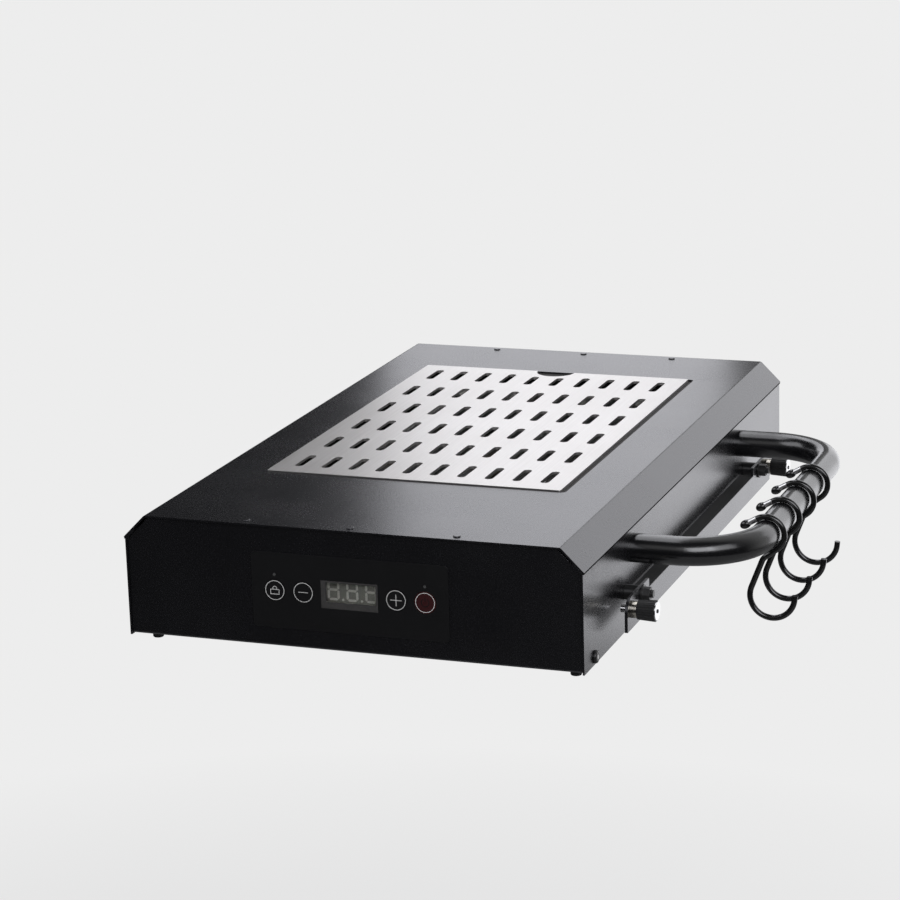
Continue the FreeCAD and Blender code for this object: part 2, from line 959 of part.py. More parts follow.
def quartz_tubes():
    tubes = []
    for x in tube_places:
        start = Vector(x, tube_start, tube_z)
        tubes.append(sleeve(start, Y, tube_radius, tube_radius - tube_wall, tube_end - tube_start))
    return group(tubes)


def heating_filaments():
    return group([
        rod(Vector(x, tube_start, tube_z), Y, filament_radius, tube_end - tube_start) for x in tube_places
    ])


def tube_end_caps():
    """Ceramic caps: a socket for the tube inside, a neck through the bracket outside."""
    caps = []
    for side in (-1, 1):
        inward = Y * -side
        for x in tube_places:
            shoulder = Vector(x, cap_start(side), tube_z)
            body = rod(shoulder, inward, cap_radius, cap_length)
            neck = rod(shoulder, inward * -1, cap_neck_radius, bracket_sheet + cap_neck_length)
            seat = shoulder + inward * (cap_length - cap_socket)
            socket = rod(seat, inward, tube_radius + tube_gap, cap_socket)
            caps.append(union(body, neck).cut(socket))
    return group(caps)


def neck_end(side):
    return cap_start(side) + side * (bracket_sheet + cap_neck_length)


def tube_terminals():
    """A stud on each cap's neck."""
    studs = []
    for side in (-1, 1):
        for x in tube_places:
            studs.append(rod(Vector(x, neck_end(side), tube_z), Y * side, terminal_radius, terminal_length))
    return group(studs)


def tube_links():
    """Strips that put the tubes in series: pairs at the rear, the middle pair at the front."""
    pairs = [(i, 1) for i in range(0, tube_count - 1, 2)] + [(i, -1) for i in range(1, tube_count - 1, 2)]
    links = []
    for i, side in pairs:
        face = neck_end(side)
        depth = (min(face, face + side * link_thickness), max(face, face + side * link_thickness))
        ends = (tube_places[i] - link_width / 2, tube_places[i + 1] + link_width / 2)
        strip = block(ends, depth, (tube_z - link_width / 2, tube_z + link_width / 2))
        holes = [
            rod(Vector(x, depth[0], tube_z), Y, terminal_radius + hole_gap, link_thickness)
            for x in tube_places[i:i + 2]
        ]
        links.append(strip.cut(holes))
    return group(links)


def reflector():
    """Folded sheet on the pan's floor, a flat-bottomed trough under each tube."""
    rise = reflector_ridge
    upper = []
    for x in tube_places:
        upper += [
            (x - tube_pitch / 2, well_floor + reflector_sheet + rise),
            (x - reflector_flat / 2, well_floor + reflector_sheet),
            (x + reflector_flat / 2, well_floor + reflector_sheet),
        ]
    upper.append((tube_places[-1] + tube_pitch / 2, well_floor + reflector_sheet + rise))
    lower = [(x, z - reflector_sheet) for x, z in reversed(upper)]
    start = bracket_front + bracket_sheet + reflector_gap
    end = bracket_rear - bracket_sheet - reflector_gap
    return prism_y(upper + lower, start, end)


def lead_bushings():
    """Ceramic bushings in the pan's front wall, collared outside."""
    bushings = []
    outer = well_front - pan_sheet
    for x in (tube_places[0], tube_places[-1]):
        start = Vector(x, outer - bushing_collar_length, tube_z)
        collar = rod(start, Y, bushing_collar, bushing_collar_length)
        body = rod(start, Y, bushing_radius, bushing_collar_length + bushing_length)
        bore = rod(start, Y, lead_radius + hole_gap, bushing_collar_length + bushing_length)
        bushings.append(union(collar, body).cut(bore))
    return group(bushings)


lead_drop_y = power_rear - lead_inset


def element_leads():
    """Insulated leads from the outer tubes, through the bushings and the shield, down to the board."""
    leads = []
    start_y = neck_end(-1) - terminal_length
    for x in (tube_places[0], tube_places[-1]):
        route = [
            Vector(x, start_y, tube_z),
            Vector(x, lead_drop_y, tube_z),
            Vector(x, lead_drop_y, power_top),
        ]
        leads.append(swept_rod(rounded_path(route, lead_bend), lead_radius))
    return group(leads)


# Shield, limiter and probe

def heat_shield():
    """Upright sheet between the burner and the electronics."""
    width = (x_mid - shield_half_width, x_mid + shield_half_width)
    top = cover_under - shield_headroom
    plate = block(width, (shield_front, shield_front + shield_sheet), (floor_top, top))
    foot = block(width, (shield_front, shield_front + shield_foot), (floor_top, floor_top + shield_sheet))
    holes = [
        rod(Vector(x, shield_front, tube_z), Y, lead_radius * 2, shield_sheet)
        for x in (tube_places[0], tube_places[-1])
    ]
    return union(plate, foot).cut(holes)


def thermal_limiter():
    """Disc limiter with two tags, on the pan's front wall."""
    x = (tube_places[0] + x_mid) / 2
    seat = Vector(x, well_front - pan_sheet, tube_z - limiter_drop)
    disc = rod(seat, Y * -1, limiter_radius, limiter_length)
    end = seat.y - limiter_length
    tags = []
    for side in (-1, 1):
        middle = x + side * limiter_radius / 2
        tags.append(block(
            (middle - link_width / 4, middle + link_width / 4),
            (end - terminal_length, end),
            (seat.z - link_thickness / 2, seat.z + link_thickness / 2),
        ))
    return union(disc, *tags)


def temperature_probe():
    start = Vector(probe_x, well_front - pan_sheet - probe_outside, tube_z)
    return rod(start, Y, probe_radius, probe_length)


def probe_nut():
    seat = Vector(probe_x, well_front - pan_sheet, tube_z)
    return hex_nut(seat, Y * -1, probe_nut_flats, probe_nut_height, probe_radius + hole_gap)


# Control panel

def control_overlay():
    """Thin printed sheet on the front panel, open at the window, the keys and the lamps."""
    half_width = panel_plate_width / 2
    half_height = panel_plate_height / 2
    plate = rounded_block(
        (x_mid - half_width, x_mid + half_width),
        (overlay_front, panel_front),
        (panel_z - half_height, panel_z + half_height),
        Y,
        panel_plate_corner,
    )
    openings = [block(
        (x_mid - window_width / 2, x_mid + window_width / 2),
        (overlay_front, panel_front),
        (panel_z - window_height / 2, panel_z + window_height / 2),
    )]
    for x in key_places.values():
        openings.append(rod(Vector(x, overlay_front, panel_z), Y, key_radius + key_gap, overlay))
    for x in lamp_places:
        place = Vector(x, overlay_front, panel_z + lamp_rise)
        openings.append(rod(place, Y, lamp_radius + hole_gap, overlay))
    return plate.cut(openings)


def display_window():
    half_width = window_width / 2 - window_gap
    half_height = window_height / 2 - window_gap
    return block(
        (x_mid - half_width, x_mid + half_width),
        (overlay_front, panel_front),
        (panel_z - half_height, panel_z + half_height),
    )


def control_key(x):
    """A round key flush with the overlay, held in by a lip behind it, with a stem to its switch."""
    face = rod(Vector(x, overlay_front, panel_z), Y, key_radius, overlay)
    lip = rod(Vector(x, panel_front, panel_z), Y, key_radius + key_lip, key_lip_thickness)
    start = panel_front + key_lip_thickness
    end = switch_end - key_travel - key_margin
    stem = rod(Vector(x, start, panel_z), Y, key_stem_radius, end - start)
    return union(face, lip, stem)


def indicator_lamps():
    """Light pipes from the board to the overlay's face, above the first and last keys."""
    return group([
        rod(Vector(x, overlay_front, panel_z + lamp_rise), Y, lamp_radius, board_front - overlay_front)
        for x in lamp_places
    ])


def post_places():
    return [
        (x_mid + i * (board_width / 2 - post_inset), panel_z + k * (board_height / 2 - post_inset))
        for i in (-1, 1)
        for k in (-1, 1)
    ]


def control_board():
    board = block(
        (x_mid - board_width / 2, x_mid + board_width / 2),
        (board_front, board_back),
        (panel_z - board_height / 2, panel_z + board_height / 2),
    )
    return board.cut([
        rod(Vector(x, board_front, z), Y, post_screw_radius + hole_gap, board_thickness)
        for x, z in post_places()
    ])


def board_posts():
    return group([
        sleeve(Vector(x, panel_back, z), Y, post_radius, post_screw_radius + hole_gap, board_setback)
        for x, z in post_places()
    ])


def board_screws():
    return group([
        round_head_screw(
            Vector(x, board_back, z),
            Y * -1,
            post_screw_radius,
            post_screw_length,
            post_screw_head,
            post_screw_head_height,
        )
        for x, z in post_places()
    ])


def key_switches():
    """A push switch behind each key."""
    switches = []
    for x in key_places.values():
        half = switch_size / 2
        case = block(
            (x - half, x + half), (board_front - switch_height, board_front), (panel_z - half, panel_z + half)
        )
        tip = rod(Vector(x, switch_end, panel_z), Y, switch_tip_radius, switch_tip)
        switches.append(union(case, tip))
    return group(switches)


display_z = panel_z + display_rise


def display_module():
    return block(
        (x_mid - display_width / 2, x_mid + display_width / 2),
        (display_face, board_front),
        (display_z - display_height / 2, display_z + display_height / 2),
    )


def segment(start, end):
    """One lit bar of a digit between two points, with pointed ends."""
    along = (end - start).normalize()
    side = along.cross(Y) * (segment_width / 2)
    tip = along * (segment_width / 2)
    gap = along * segment_gap
    first = start + gap
    last = end - gap
    points = [first, first + tip + side, last - tip + side, last, last - tip - side, first + tip - side]
    return prism(points, Y * -segment_proud)


def display_digits():
    """Three seven-bar digits with their points, on the display's face."""
    bars = []
    half_width = (digit_width - segment_width) / 2
    half_height = (digit_height - segment_width) / 2
    for i in (-1, 0, 1):
        middle = Vector(x_mid + i * digit_pitch, display_face, display_z)
        levels = [middle + Z * (k * half_height) for k in (-1, 0, 1)]
        for level in levels:
            bars.append(segment(level - X * half_width, level + X * half_width))
        for low, high in zip(levels, levels[1:]):
            for side in (-1, 1):
                shift = X * (side * half_width)
                bars.append(segment(low + shift, high + shift))
        point = middle + X * (digit_pitch / 2) - Z * half_height
        bars.append(rod(point, Y * -1, point_radius, segment_proud))
    return group(bars)


# Power board

def power_post_places():
    return [
        (x_mid + i * (power_width / 2 - post_inset), y)
        for i in (-1, 1)
        for y in (power_front + post_inset, power_rear - post_inset)
    ]


def power_board():
    board = block(
        (x_mid - power_width / 2, x_mid + power_width / 2), (power_front, power_rear), (power_z, power_top)
    )
    return board.cut([
        rod(Vector(x, y, power_z), Z, post_screw_radius + hole_gap, board_thickness)
        for x, y in power_post_places()
    ])


def power_posts():
    return group([
        sleeve(Vector(x, y, floor_top), Z, post_radius, post_screw_radius + hole_gap, power_post_height)
        for x, y in power_post_places()
    ])


def power_screws():
    return group([
        round_head_screw(
            Vector(x, y, power_top),
            Z * -1,
            post_screw_radius,
            post_screw_length,
            post_screw_head,
            post_screw_head_height,
        )
        for x, y in power_post_places()
    ])


def on_power_board(x, y, width, depth, height):
    """A block that stands on the board, centred at x and y."""
    across = (x - width / 2, x + width / 2)
    along = (y - depth / 2, y + depth / 2)
    return block(across, along, (power_top, power_top + height))


power_middle = (power_front + power_rear) / 2


def power_relay():
    x = x_mid - sink_width / 2 - power_part_gap - relay_width / 2
    return on_power_board(x, power_front + relay_depth, relay_width, relay_depth, relay_height)


def heat_sink():
    """Finned block for the power switch."""
    y = power_middle
    base = on_power_board(x_mid, y, sink_width, sink_depth, sink_base)
    fins = []
    for i in range(sink_fins):
        x = x_mid - sink_width / 2 + sink_fin / 2 + i * (sink_width - sink_fin) / (sink_fins - 1)
        fins.append(on_power_board(x, y, sink_fin, sink_depth, sink_height))
    return union(base, *fins)


def transformer():
    x = x_mid + sink_width / 2 + power_part_gap + transformer_width / 2
    return on_power_board(x, power_middle, transformer_width, transformer_depth, transformer_height)


terminal_block_x = x_mid + power_width / 2 - terminal_block_width / 2


def terminal_block():
    """Screw terminals at the board's right end, where the mains lead arrives."""
    return on_power_board(
        terminal_block_x, power_middle, terminal_block_width, terminal_block_depth, terminal_block_height
    )


ribbon_x = x_mid - sink_width / 2 - ribbon_plug_width
ribbon_y = power_front + ribbon_plug_depth / 2


def ribbon_plugs():
    """A plug on each board for the ribbon."""
    lower = on_power_board(ribbon_x, ribbon_y, ribbon_plug_width, ribbon_plug_depth, ribbon_plug_height)
    upper = block(
        (ribbon_x - ribbon_plug_width / 2, ribbon_x + ribbon_plug_width / 2),
        (board_back, board_back + ribbon_plug_height),
        (panel_z - ribbon_plug_depth / 2, panel_z + ribbon_plug_depth / 2),
    )
    return group([lower, upper])


def ribbon_cable():
    """Flat cable that rises from the power board and turns to the control board."""
    width = (ribbon_x - ribbon_width / 2, ribbon_x + ribbon_width / 2)
    half = ribbon_thickness / 2
    rise = block(width, (ribbon_y - half, ribbon_y + half), (power_top + ribbon_plug_height, panel_z + half))
    run = block(width, (board_back + ribbon_plug_height, ribbon_y + half), (panel_z - half, panel_z + half))
    return union(rise, run)


# Mains inlet

def mains_inlet():
    """Flanged socket body with its recess towards the rear."""
    flange = rounded_block(
        (inlet_x - inlet_flange_width / 2, inlet_x + inlet_flange_width / 2),
        (rear_out, rear_out + inlet_flange),
        (inlet_z - inlet_flange_height / 2, inlet_z + inlet_flange_height / 2),
        Y,
        inlet_corner,
    )
    end = rear_out + inlet_flange
    body = block(
        (inlet_x - inlet_body_width / 2, inlet_x + inlet_body_width / 2),
        (end - inlet_body_depth, rear_out),
        (inlet_z - inlet_body_height / 2, inlet_z + inlet_body_height / 2),
    )
    socket = rounded_block(
        (inlet_x - inlet_socket_width / 2, inlet_x + inlet_socket_width / 2),
        (end - inlet_socket_depth, end),
        (inlet_z - inlet_socket_height / 2, inlet_z + inlet_socket_height / 2),
        Y,
        inlet_corner,
    )
    holes = []
    for side in (-1, 1):
        place = Vector(inlet_x + side * inlet_screw_spacing / 2, rear_out, inlet_z)
        holes.append(rod(place, Y, inlet_screw_radius + hole_gap, inlet_flange))
    return union(flange, body).cut([socket] + holes)


def inlet_pins():
    """Two blades and a raised earth blade in the socket."""
    start = rear_out + inlet_flange - inlet_socket_depth
    places = [
        (-inlet_pin_pitch / 2, -inlet_pin_drop / 2),
        (0.0, inlet_pin_drop / 2),
        (inlet_pin_pitch / 2, -inlet_pin_drop / 2),
    ]
    pins = []
    for x, z in places:
        pins.append(block(
            (inlet_x + x - inlet_pin_width / 2, inlet_x + x + inlet_pin_width / 2),
            (start, start + inlet_pin_length),
            (inlet_z + z - inlet_pin_height / 2, inlet_z + z + inlet_pin_height / 2),
        ))
    return group(pins)


def inlet_screws():
    return group([
        round_head_screw(
            Vector(inlet_x + side * inlet_screw_spacing / 2, rear_out + inlet_flange, inlet_z),
            Y * -1,
            inlet_screw_radius,
            inlet_screw_length,
            inlet_screw_head,
            inlet_screw_head_height,
        )
        for side in (-1, 1)
    ])


def mains_lead():
    """Sheathed lead from the inlet along the right side to the terminal block."""
    start_y = rear_out + inlet_flange - inlet_body_depth
    z = power_top + terminal_block_height / 2
    end_x = terminal_block_x + terminal_block_width / 2
    path = rounded_path(
        [
            Vector(inlet_x, start_y, inlet_z),
            Vector(inlet_x, start_y - mains_lead_drop_run, inlet_z),
            Vector(inlet_x, start_y - 2 * mains_lead_drop_run, z),
            Vector(inlet_x, power_middle, z),
            Vector(end_x, power_middle, z),
        ],
        mains_lead_bend,
    )
    return swept_rod(path, mains_lead_radius)


# Handle

def handle_bar():
    """Bent tube, both ends square against the right wall."""
    path = rounded_path(
        [
            Vector(right_out, arm_places[0], bar_z),
            Vector(bar_x, arm_places[0], bar_z),
            Vector(bar_x, arm_places[1], bar_z),
            Vector(right_out, arm_places[1], bar_z),
        ],
        handle_bend,
    )
    return swept_rod(path, handle_radius).cut(swept_rod(path, handle_radius - handle_wall))


def handle_inserts():
    """Threaded plugs in the tube's ends."""
    outer = handle_radius - handle_wall - knob_core_gap
    return group([
        sleeve(Vector(right_out, y, bar_z), X, outer, handle_bolt_radius + hole_gap, insert_length)
        for y in arm_places
    ])


def handle_washers():
    return group([
        sleeve(
            Vector(right_in, y, bar_z),
            X * -1,
            handle_washer_radius,
            handle_bolt_radius + hole_gap,
            handle_washer,
        )
        for y in arm_places
    ])


def handle_bolts():
    return group([
        hex_bolt(
            Vector(right_in - handle_washer, y, bar_z),
            X,
            handle_bolt_radius,
            handle_bolt_length,
            handle_bolt_head_flats,
            handle_bolt_head_height,
        )
        for y in arm_places
    ])


# Hooks

def polar(centre, radius, degrees):
    """A point round a centre in the plane across the bar."""
    angle = math.radians(degrees)
    return centre + Vector(radius * math.cos(angle), 0, radius * math.sin(angle))


def hook_path(y):
    """Off the bar's far side, over it, across under it, down a shank and round an open bowl."""
    loop = Vector(bar_x, y, bar_z + handle_radius + hook_gap + hook_wire - hook_loop_radius)
    bowl = Vector(bar_x + hook_bowl_reach, y, bar_z - hook_bowl_drop)
    heading = hook_exit_angle - 90.0
    loop_end = polar(loop, hook_loop_radius, hook_exit_angle)
    turn_start = polar(loop_end, hook_cross_run, heading)
    turn = polar(turn_start, hook_turn_radius, hook_exit_angle)
    gap = bowl - turn
    lean = math.degrees(math.asin((hook_bowl_radius - hook_turn_radius) / gap.Length))
    shank = math.degrees(math.atan2(gap.z, gap.x)) - lean
    leave = shank - 90.0
    turn_enter = hook_exit_angle - 180.0
    bowl_middle = (leave + 360.0 + hook_bowl_end_angle + 360.0) / 2
    bowl_end = polar(bowl, hook_bowl_radius, hook_bowl_end_angle)
    loop_start = polar(loop, hook_loop_radius, hook_tail_angle)
    return Part.Wire([
        Part.LineSegment(polar(loop_start, hook_tail_run, hook_tail_angle + 90.0), loop_start).toShape(),
        Part.Arc(
            loop_start,
            polar(loop, hook_loop_radius, (hook_tail_angle + hook_exit_angle) / 2),
            loop_end,
        ).toShape(),
        Part.LineSegment(loop_end, turn_start).toShape(),
        Part.Arc(
            turn_start,
            polar(turn, hook_turn_radius, (turn_enter + leave) / 2),
            polar(turn, hook_turn_radius, leave),
        ).toShape(),
        Part.LineSegment(
            polar(turn, hook_turn_radius, leave), polar(bowl, hook_bowl_radius, leave)
        ).toShape(),
        Part.Arc(
            polar(bowl, hook_bowl_radius, leave), polar(bowl, hook_bowl_radius, bowl_middle), bowl_end
        ).toShape(),
        Part.LineSegment(
            bowl_end, polar(bowl_end, hook_tip_run, hook_bowl_end_angle + 90.0)
        ).toShape(),
    ])


def hook(y):
    return swept_rod(hook_path(y), hook_wire)


# Accessory rail and knobs

def accessory_rail():
    """Upright strip with a flange back to the wall and a raised tab at each end."""
    half = rail_length / 2
    low = z_bottom + rail_bottom
    flange_half = half - rail_tab_length
    strip = block(
        (rail_in, rail_out), (fittings_y - half, fittings_y + half), (low, low + rail_tab_height)
    )
    ends = edges_at(strip, X, z=low + rail_tab_height)
    strip = strip.makeFillet(rail_tab_corner, ends)
    middle = (fittings_y - flange_half, fittings_y + flange_half)
    relief = block((rail_in, rail_out), middle, (low + rail_height, low + rail_tab_height))
    flange = block((right_out, rail_in), middle, (low + rail_height - rail_sheet, low + rail_height))
    holes = [
        rod(Vector(rail_in, y, rail_bolt_z), X, rail_bolt_radius + hole_gap, rail_sheet)
        for y in rail_bolt_places
    ]
    for y in knob_places.values():
        holes.append(rod(Vector(rail_in, y, knob_z), X, knob_screw_radius + knob_screw_gap, rail_sheet))
    return union(strip.cut(relief), flange).cut(holes)


def rail_spacers():
    return group([
        sleeve(
            Vector(right_out, y, rail_bolt_z),
            X,
            rail_spacer_radius,
            rail_bolt_radius + hole_gap,
            rail_in - right_out,
        )
        for y in rail_bolt_places
    ])


def rail_bolts():
    length = rail_out - right_in + rail_nut_height + rail_nut_flange_height + rail_bolt_end
    return group([
        hex_bolt(
            Vector(right_in, y, rail_bolt_z),
            X,
            rail_bolt_radius,
            length,
            rail_bolt_head_flats,
            rail_bolt_head_height,
        )
        for y in rail_bolt_places
    ])


def rail_nuts():
    """Flanged nuts on the rail's outer face."""
    nuts = []
    for y in rail_bolt_places:
        seat = Vector(rail_out, y, rail_bolt_z)
        flange = rod(seat, X, rail_nut_flange, rail_nut_flange_height)
        body = hexagon(seat, X, rail_nut_flats, rail_nut_flange_height + rail_nut_height)
        bore = rod(seat, X, rail_bolt_radius + hole_gap, rail_nut_flange_height + rail_nut_height)
        nuts.append(union(flange, body).cut(bore))
    return group(nuts)


def knob_ferrules():
    """Collars on the rail that keep the knobs' screws square."""
    return group([
        sleeve(
            Vector(rail_out, y, knob_z),
            X,
            knob_ferrule_radius,
            knob_screw_radius + knob_screw_gap,
            knob_ferrule_length,
        )
        for y in knob_places.values()
    ])


knob_start = rail_out + knob_ferrule_length + knob_float


def knob_grip(y):
    """Knurled sleeve, a little wider at its outer end."""
    start = Vector(knob_start, y, knob_z)
    grip = Part.makeCone(knob_inner_radius, knob_outer_radius, knob_length, start, X)
    cuts = [rod(start, X, knob_core_radius + knob_core_gap, knob_length)]
    for i in range(knob_grooves):
        angle = 2 * math.pi * i / knob_grooves
        out = Vector(0, math.cos(angle), math.sin(angle))
        low = start + out * (knob_inner_radius + knob_groove_radius / 2)
        high = start + X * knob_length + out * (knob_outer_radius + knob_groove_radius / 2)
        cuts.append(rod(low, high - low, knob_groove_radius, (high - low).Length))
    return grip.cut(cuts)


def knob_screw(y):
    """Thumb screw: shank through the rail, core through the grip, recessed face outside."""
    tip = rail_in - knob_screw_tip
    shank = rod(Vector(tip, y, knob_z), X, knob_screw_radius, knob_start - tip)
    core = rod(Vector(knob_start, y, knob_z), X, knob_core_radius, knob_length)
    seat = Vector(knob_start + knob_length, y, knob_z)
    face = rod(seat, X, knob_face_radius, knob_face)
    rim = [e for e in face.Edges if abs(e.CenterOfMass.x - seat.x - knob_face) < 0.01]
    face = face.makeFillet(knob_face * 0.35, rim)
    recess = rod(seat + X * (knob_face - knob_recess), X, knob_recess_radius, knob_recess)
    return union(shank, core, face).cut(recess)


def nodes():
    """Every piece by its node's name."""
    pieces = {
        "top_cover": top_cover(),
        "left_wall": left_wall(),
        "right_wall": right_wall(),
        "front_panel": front_panel(),
        "rear_panel": rear_panel(),
        "base_pan": base_pan(),
        "housing_rivets": group(cover_rivets().Solids + mounting_rivets().Solids),
        "housing_screws": group(side_screws().Solids + inlet_screws().Solids),
        "mounting_plate": mounting_plate(),
        "rubber_feet": rubber_feet(),
        "foot_fixings": group(foot_screws().Solids + foot_nuts().Solids),
        "grate": grate(),
        "burner_pan": burner_pan(),
        "pan_fixings": group(pan_studs().Solids + pan_nuts().Solids),
        "insulation_board": insulation_board(),
        "support_rails": support_rails(),
        "tube_brackets": group([tube_bracket(-1), tube_bracket(1)]),
        "quartz_tubes": quartz_tubes(),
        "heating_filaments": heating_filaments(),
        "tube_end_caps": tube_end_caps(),
        "tube_links": group(tube_terminals().Solids + tube_links().Solids),
        "reflector": reflector(),
        "lead_bushings": lead_bushings(),
        "element_leads": element_leads(),
        "heat_shield": heat_shield(),
        "thermal_limiter": thermal_limiter(),
        "temperature_probe": group([temperature_probe(), probe_nut()]),
        "control_overlay": control_overlay(),
        "display_window": display_window(),
        "indicator_lamps": indicator_lamps(),
        "control_board": control_board(),
        "board_posts": group(board_posts().Solids + power_posts().Solids),
        "board_screws": group(board_screws().Solids + power_screws().Solids),
        "key_switches": key_switches(),
        "display_module": display_module(),
        "display_digits": display_digits(),
        "power_board": power_board(),
        "power_parts": group([power_relay(), transformer(), terminal_block()]),
        "heat_sink": heat_sink(),
        "ribbon_cable": group(ribbon_plugs().Solids + [ribbon_cable()]),
        "mains_inlet": mains_inlet(),
        "inlet_pins": inlet_pins(),
        "mains_lead": mains_lead(),
        "handle_bar": handle_bar(),
        "handle_fixings": group(
            handle_inserts().Solids + handle_washers().Solids + handle_bolts().Solids
        ),
        "accessory_rail": accessory_rail(),
        "rail_fixings": group(rail_spacers().Solids + rail_bolts().Solids + rail_nuts().Solids),
        "knob_ferrules": knob_ferrules(),
    }
    for name, x in key_places.items():
        pieces[name] = control_key(x)
    for i in range(hook_count):
        pieces[f"hook_{i + 1}"] = hook(arm_places[0] + handle_bend + hook_margin + i * hook_pitch)
    for name, y in knob_places.items():
        pieces[f"knob_grip_{name}"] = knob_grip(y)
        pieces[f"knob_screw_{name}"] = knob_screw(y)
    return pieces


os.makedirs("parts", exist_ok=True)
for node, shape in nodes().items():
    shape.exportStep(f"parts/{node}.step")
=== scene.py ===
"""Studio scene of an electric infrared side burner: finishes, fine shapes, soft light and the camera.

Metres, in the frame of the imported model: X runs out to the handle, Y from the key panel to the rear, Z is up.
"""
import json
import math

import bmesh
import bpy
from mathutils import Matrix, Vector


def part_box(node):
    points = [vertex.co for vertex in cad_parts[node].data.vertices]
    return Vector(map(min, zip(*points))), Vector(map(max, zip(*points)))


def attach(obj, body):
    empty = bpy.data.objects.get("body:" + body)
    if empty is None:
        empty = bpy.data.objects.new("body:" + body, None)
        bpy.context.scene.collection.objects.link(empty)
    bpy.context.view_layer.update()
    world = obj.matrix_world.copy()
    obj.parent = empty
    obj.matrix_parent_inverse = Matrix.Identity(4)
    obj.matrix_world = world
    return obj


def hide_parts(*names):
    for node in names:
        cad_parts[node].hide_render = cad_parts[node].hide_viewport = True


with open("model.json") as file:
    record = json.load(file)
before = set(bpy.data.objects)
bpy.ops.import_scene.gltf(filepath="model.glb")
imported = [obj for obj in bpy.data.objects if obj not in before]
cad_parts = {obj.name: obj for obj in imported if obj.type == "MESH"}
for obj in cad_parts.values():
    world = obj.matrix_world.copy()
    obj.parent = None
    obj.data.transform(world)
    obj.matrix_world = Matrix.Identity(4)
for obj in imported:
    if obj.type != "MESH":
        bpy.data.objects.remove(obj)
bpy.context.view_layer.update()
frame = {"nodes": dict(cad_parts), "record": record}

BEHAVIOUR = frame["record"]["behaviour"]
NODE_SLOT = {part["node"]: part["material_slot"] for part in frame["record"]["subparts"]}
NODE_BODY = {node: body for body, nodes in BEHAVIOUR["bodies"].items() for node in nodes}

MM = 0.001
X = Vector((1, 0, 0))
Y = Vector((0, 1, 0))
Z = Vector((0, 0, 1))

# Camera at the photograph's angle: degrees, metres, and its focal length in the photograph's pixels
CAMERA_AZIMUTH = 20.34
CAMERA_ELEVATION = 15.00
CAMERA_ROLL = -1.71
CAMERA_DISTANCE = 2.056
CAMERA_TARGET = Vector((0.1345, 0.0002, 0.0333))
CAMERA_FOCUS_PIXELS = 2912.7
IMAGE_PIXELS = 900.0
SENSOR = 36.0

# Surroundings: a pair of edges is where a glow starts and where it is full, in a ray's heading
BACKGROUND = 0.847
ROOM = 0.01
AMBIENT = 0.12
BACKDROP_EDGE = (-0.1, 0.45)
BACKDROP_FOOT = (-0.45, -0.2)
BACKDROP_LEFT = (-0.3, -0.05)
BACKDROP_LEVELS = (0.1, 0.5)
FRONT_EDGE = (-0.25, -0.55)
FRONT_FOOT = (0.25, 0.4)
FRONT_HEAD = (0.75, 0.6)
FRONT_GLOW = 0.3

# Floor: its fade is measured from the part's origin, and mirrors see it dimmed
FLOOR_CENTRE = Vector((0.16, 0.0, -0.60))
FLOOR_RADIUS = 1.3
FLOOR_SIDES = 96
FLOOR_FADE = (0.6, 1.2)
FLOOR_PLAIN = 0.75
FLOOR_DIMMED = 0.7
FLOOR_SHEEN = 0.1

# Soft boxes: place, the point each faces, width, height and glow
LAMP_COLOUR = (0.95, 0.955, 1.0)
SOFT_BOXES = {
    "rear_box": ((-0.1, 0.95, 0.45), (-0.1, 0.0, 0.45), 0.38, 0.9, 1.3),
    "right_box": ((0.93, 0.95, 0.45), (0.93, 0.0, 0.45), 1.36, 0.9, 0.85),
    "low_box": ((0.95, 0.95, -0.22), (0.95, 0.0, -0.22), 1.32, 0.44, 1.0),
    "top_box": ((-0.17, 0.25, 1.5), (-0.17, 0.0, 0.0), 0.45, 1.2, 1.8),
    "front_box": ((1.55, -1.0, 0.95), (0.16, -0.25, 0.0), 1.0, 1.0, 1.5),
    "side_box": ((0.85, -1.35, 0.75), (0.16, -0.25, 0.0), 0.9, 0.8, 3.0),
    "strip_box": ((-0.2, 0.93, 1.15), (0.36, -0.2, 0.0), 0.45, 0.6, 1.8),
    "left_box": ((-0.85, -0.45, 0.85), (0.38, 0.0, 0.0), 1.3, 0.8, 1.6),
}

# Patterns of the finishes: repeats in a metre, shares of a mix, and the span that most noise lies in
NOISE_SPAN = (0.3, 0.7)
GRAIN_SHARE = 0.6
SOFT_PATCHES = 18.0
BOARD_PATCHES = 160.0
STREAKS = 1400.0
RIBBON_STREAKS = 700.0
STREAK_DRAWN = 0.012
STREAK_PATCHES = 14.0
STREAK_PATCH_SHARE = 0.35
ZINC_FLOWERS = 260.0
ZINC_GRAIN = 900.0
ZINC_GRAIN_SHARE = 0.2
ZINC_DEPTH = 0.01 * MM
STAINS = 16.0
STAIN_SPAN = (0.45, 0.7)
HEATED_GRAIN = 700.0
HEATED_DEPTH = 0.015 * MM
FIBRES = 600.0
CROSSED_FIBRES = 500.0
CROSSED_SHARE = 0.5
FIBRE_DRAWN = 0.2
FIBRE_ROUGH = (0.85, 0.95)
FIBRE_DEPTH = 0.15 * MM
BRAID_THREADS = 350.0
BRAID_WAVER = 0.6
BRAID_ROUGH = (0.75, 0.9)
BRAID_DEPTH = 0.2 * MM

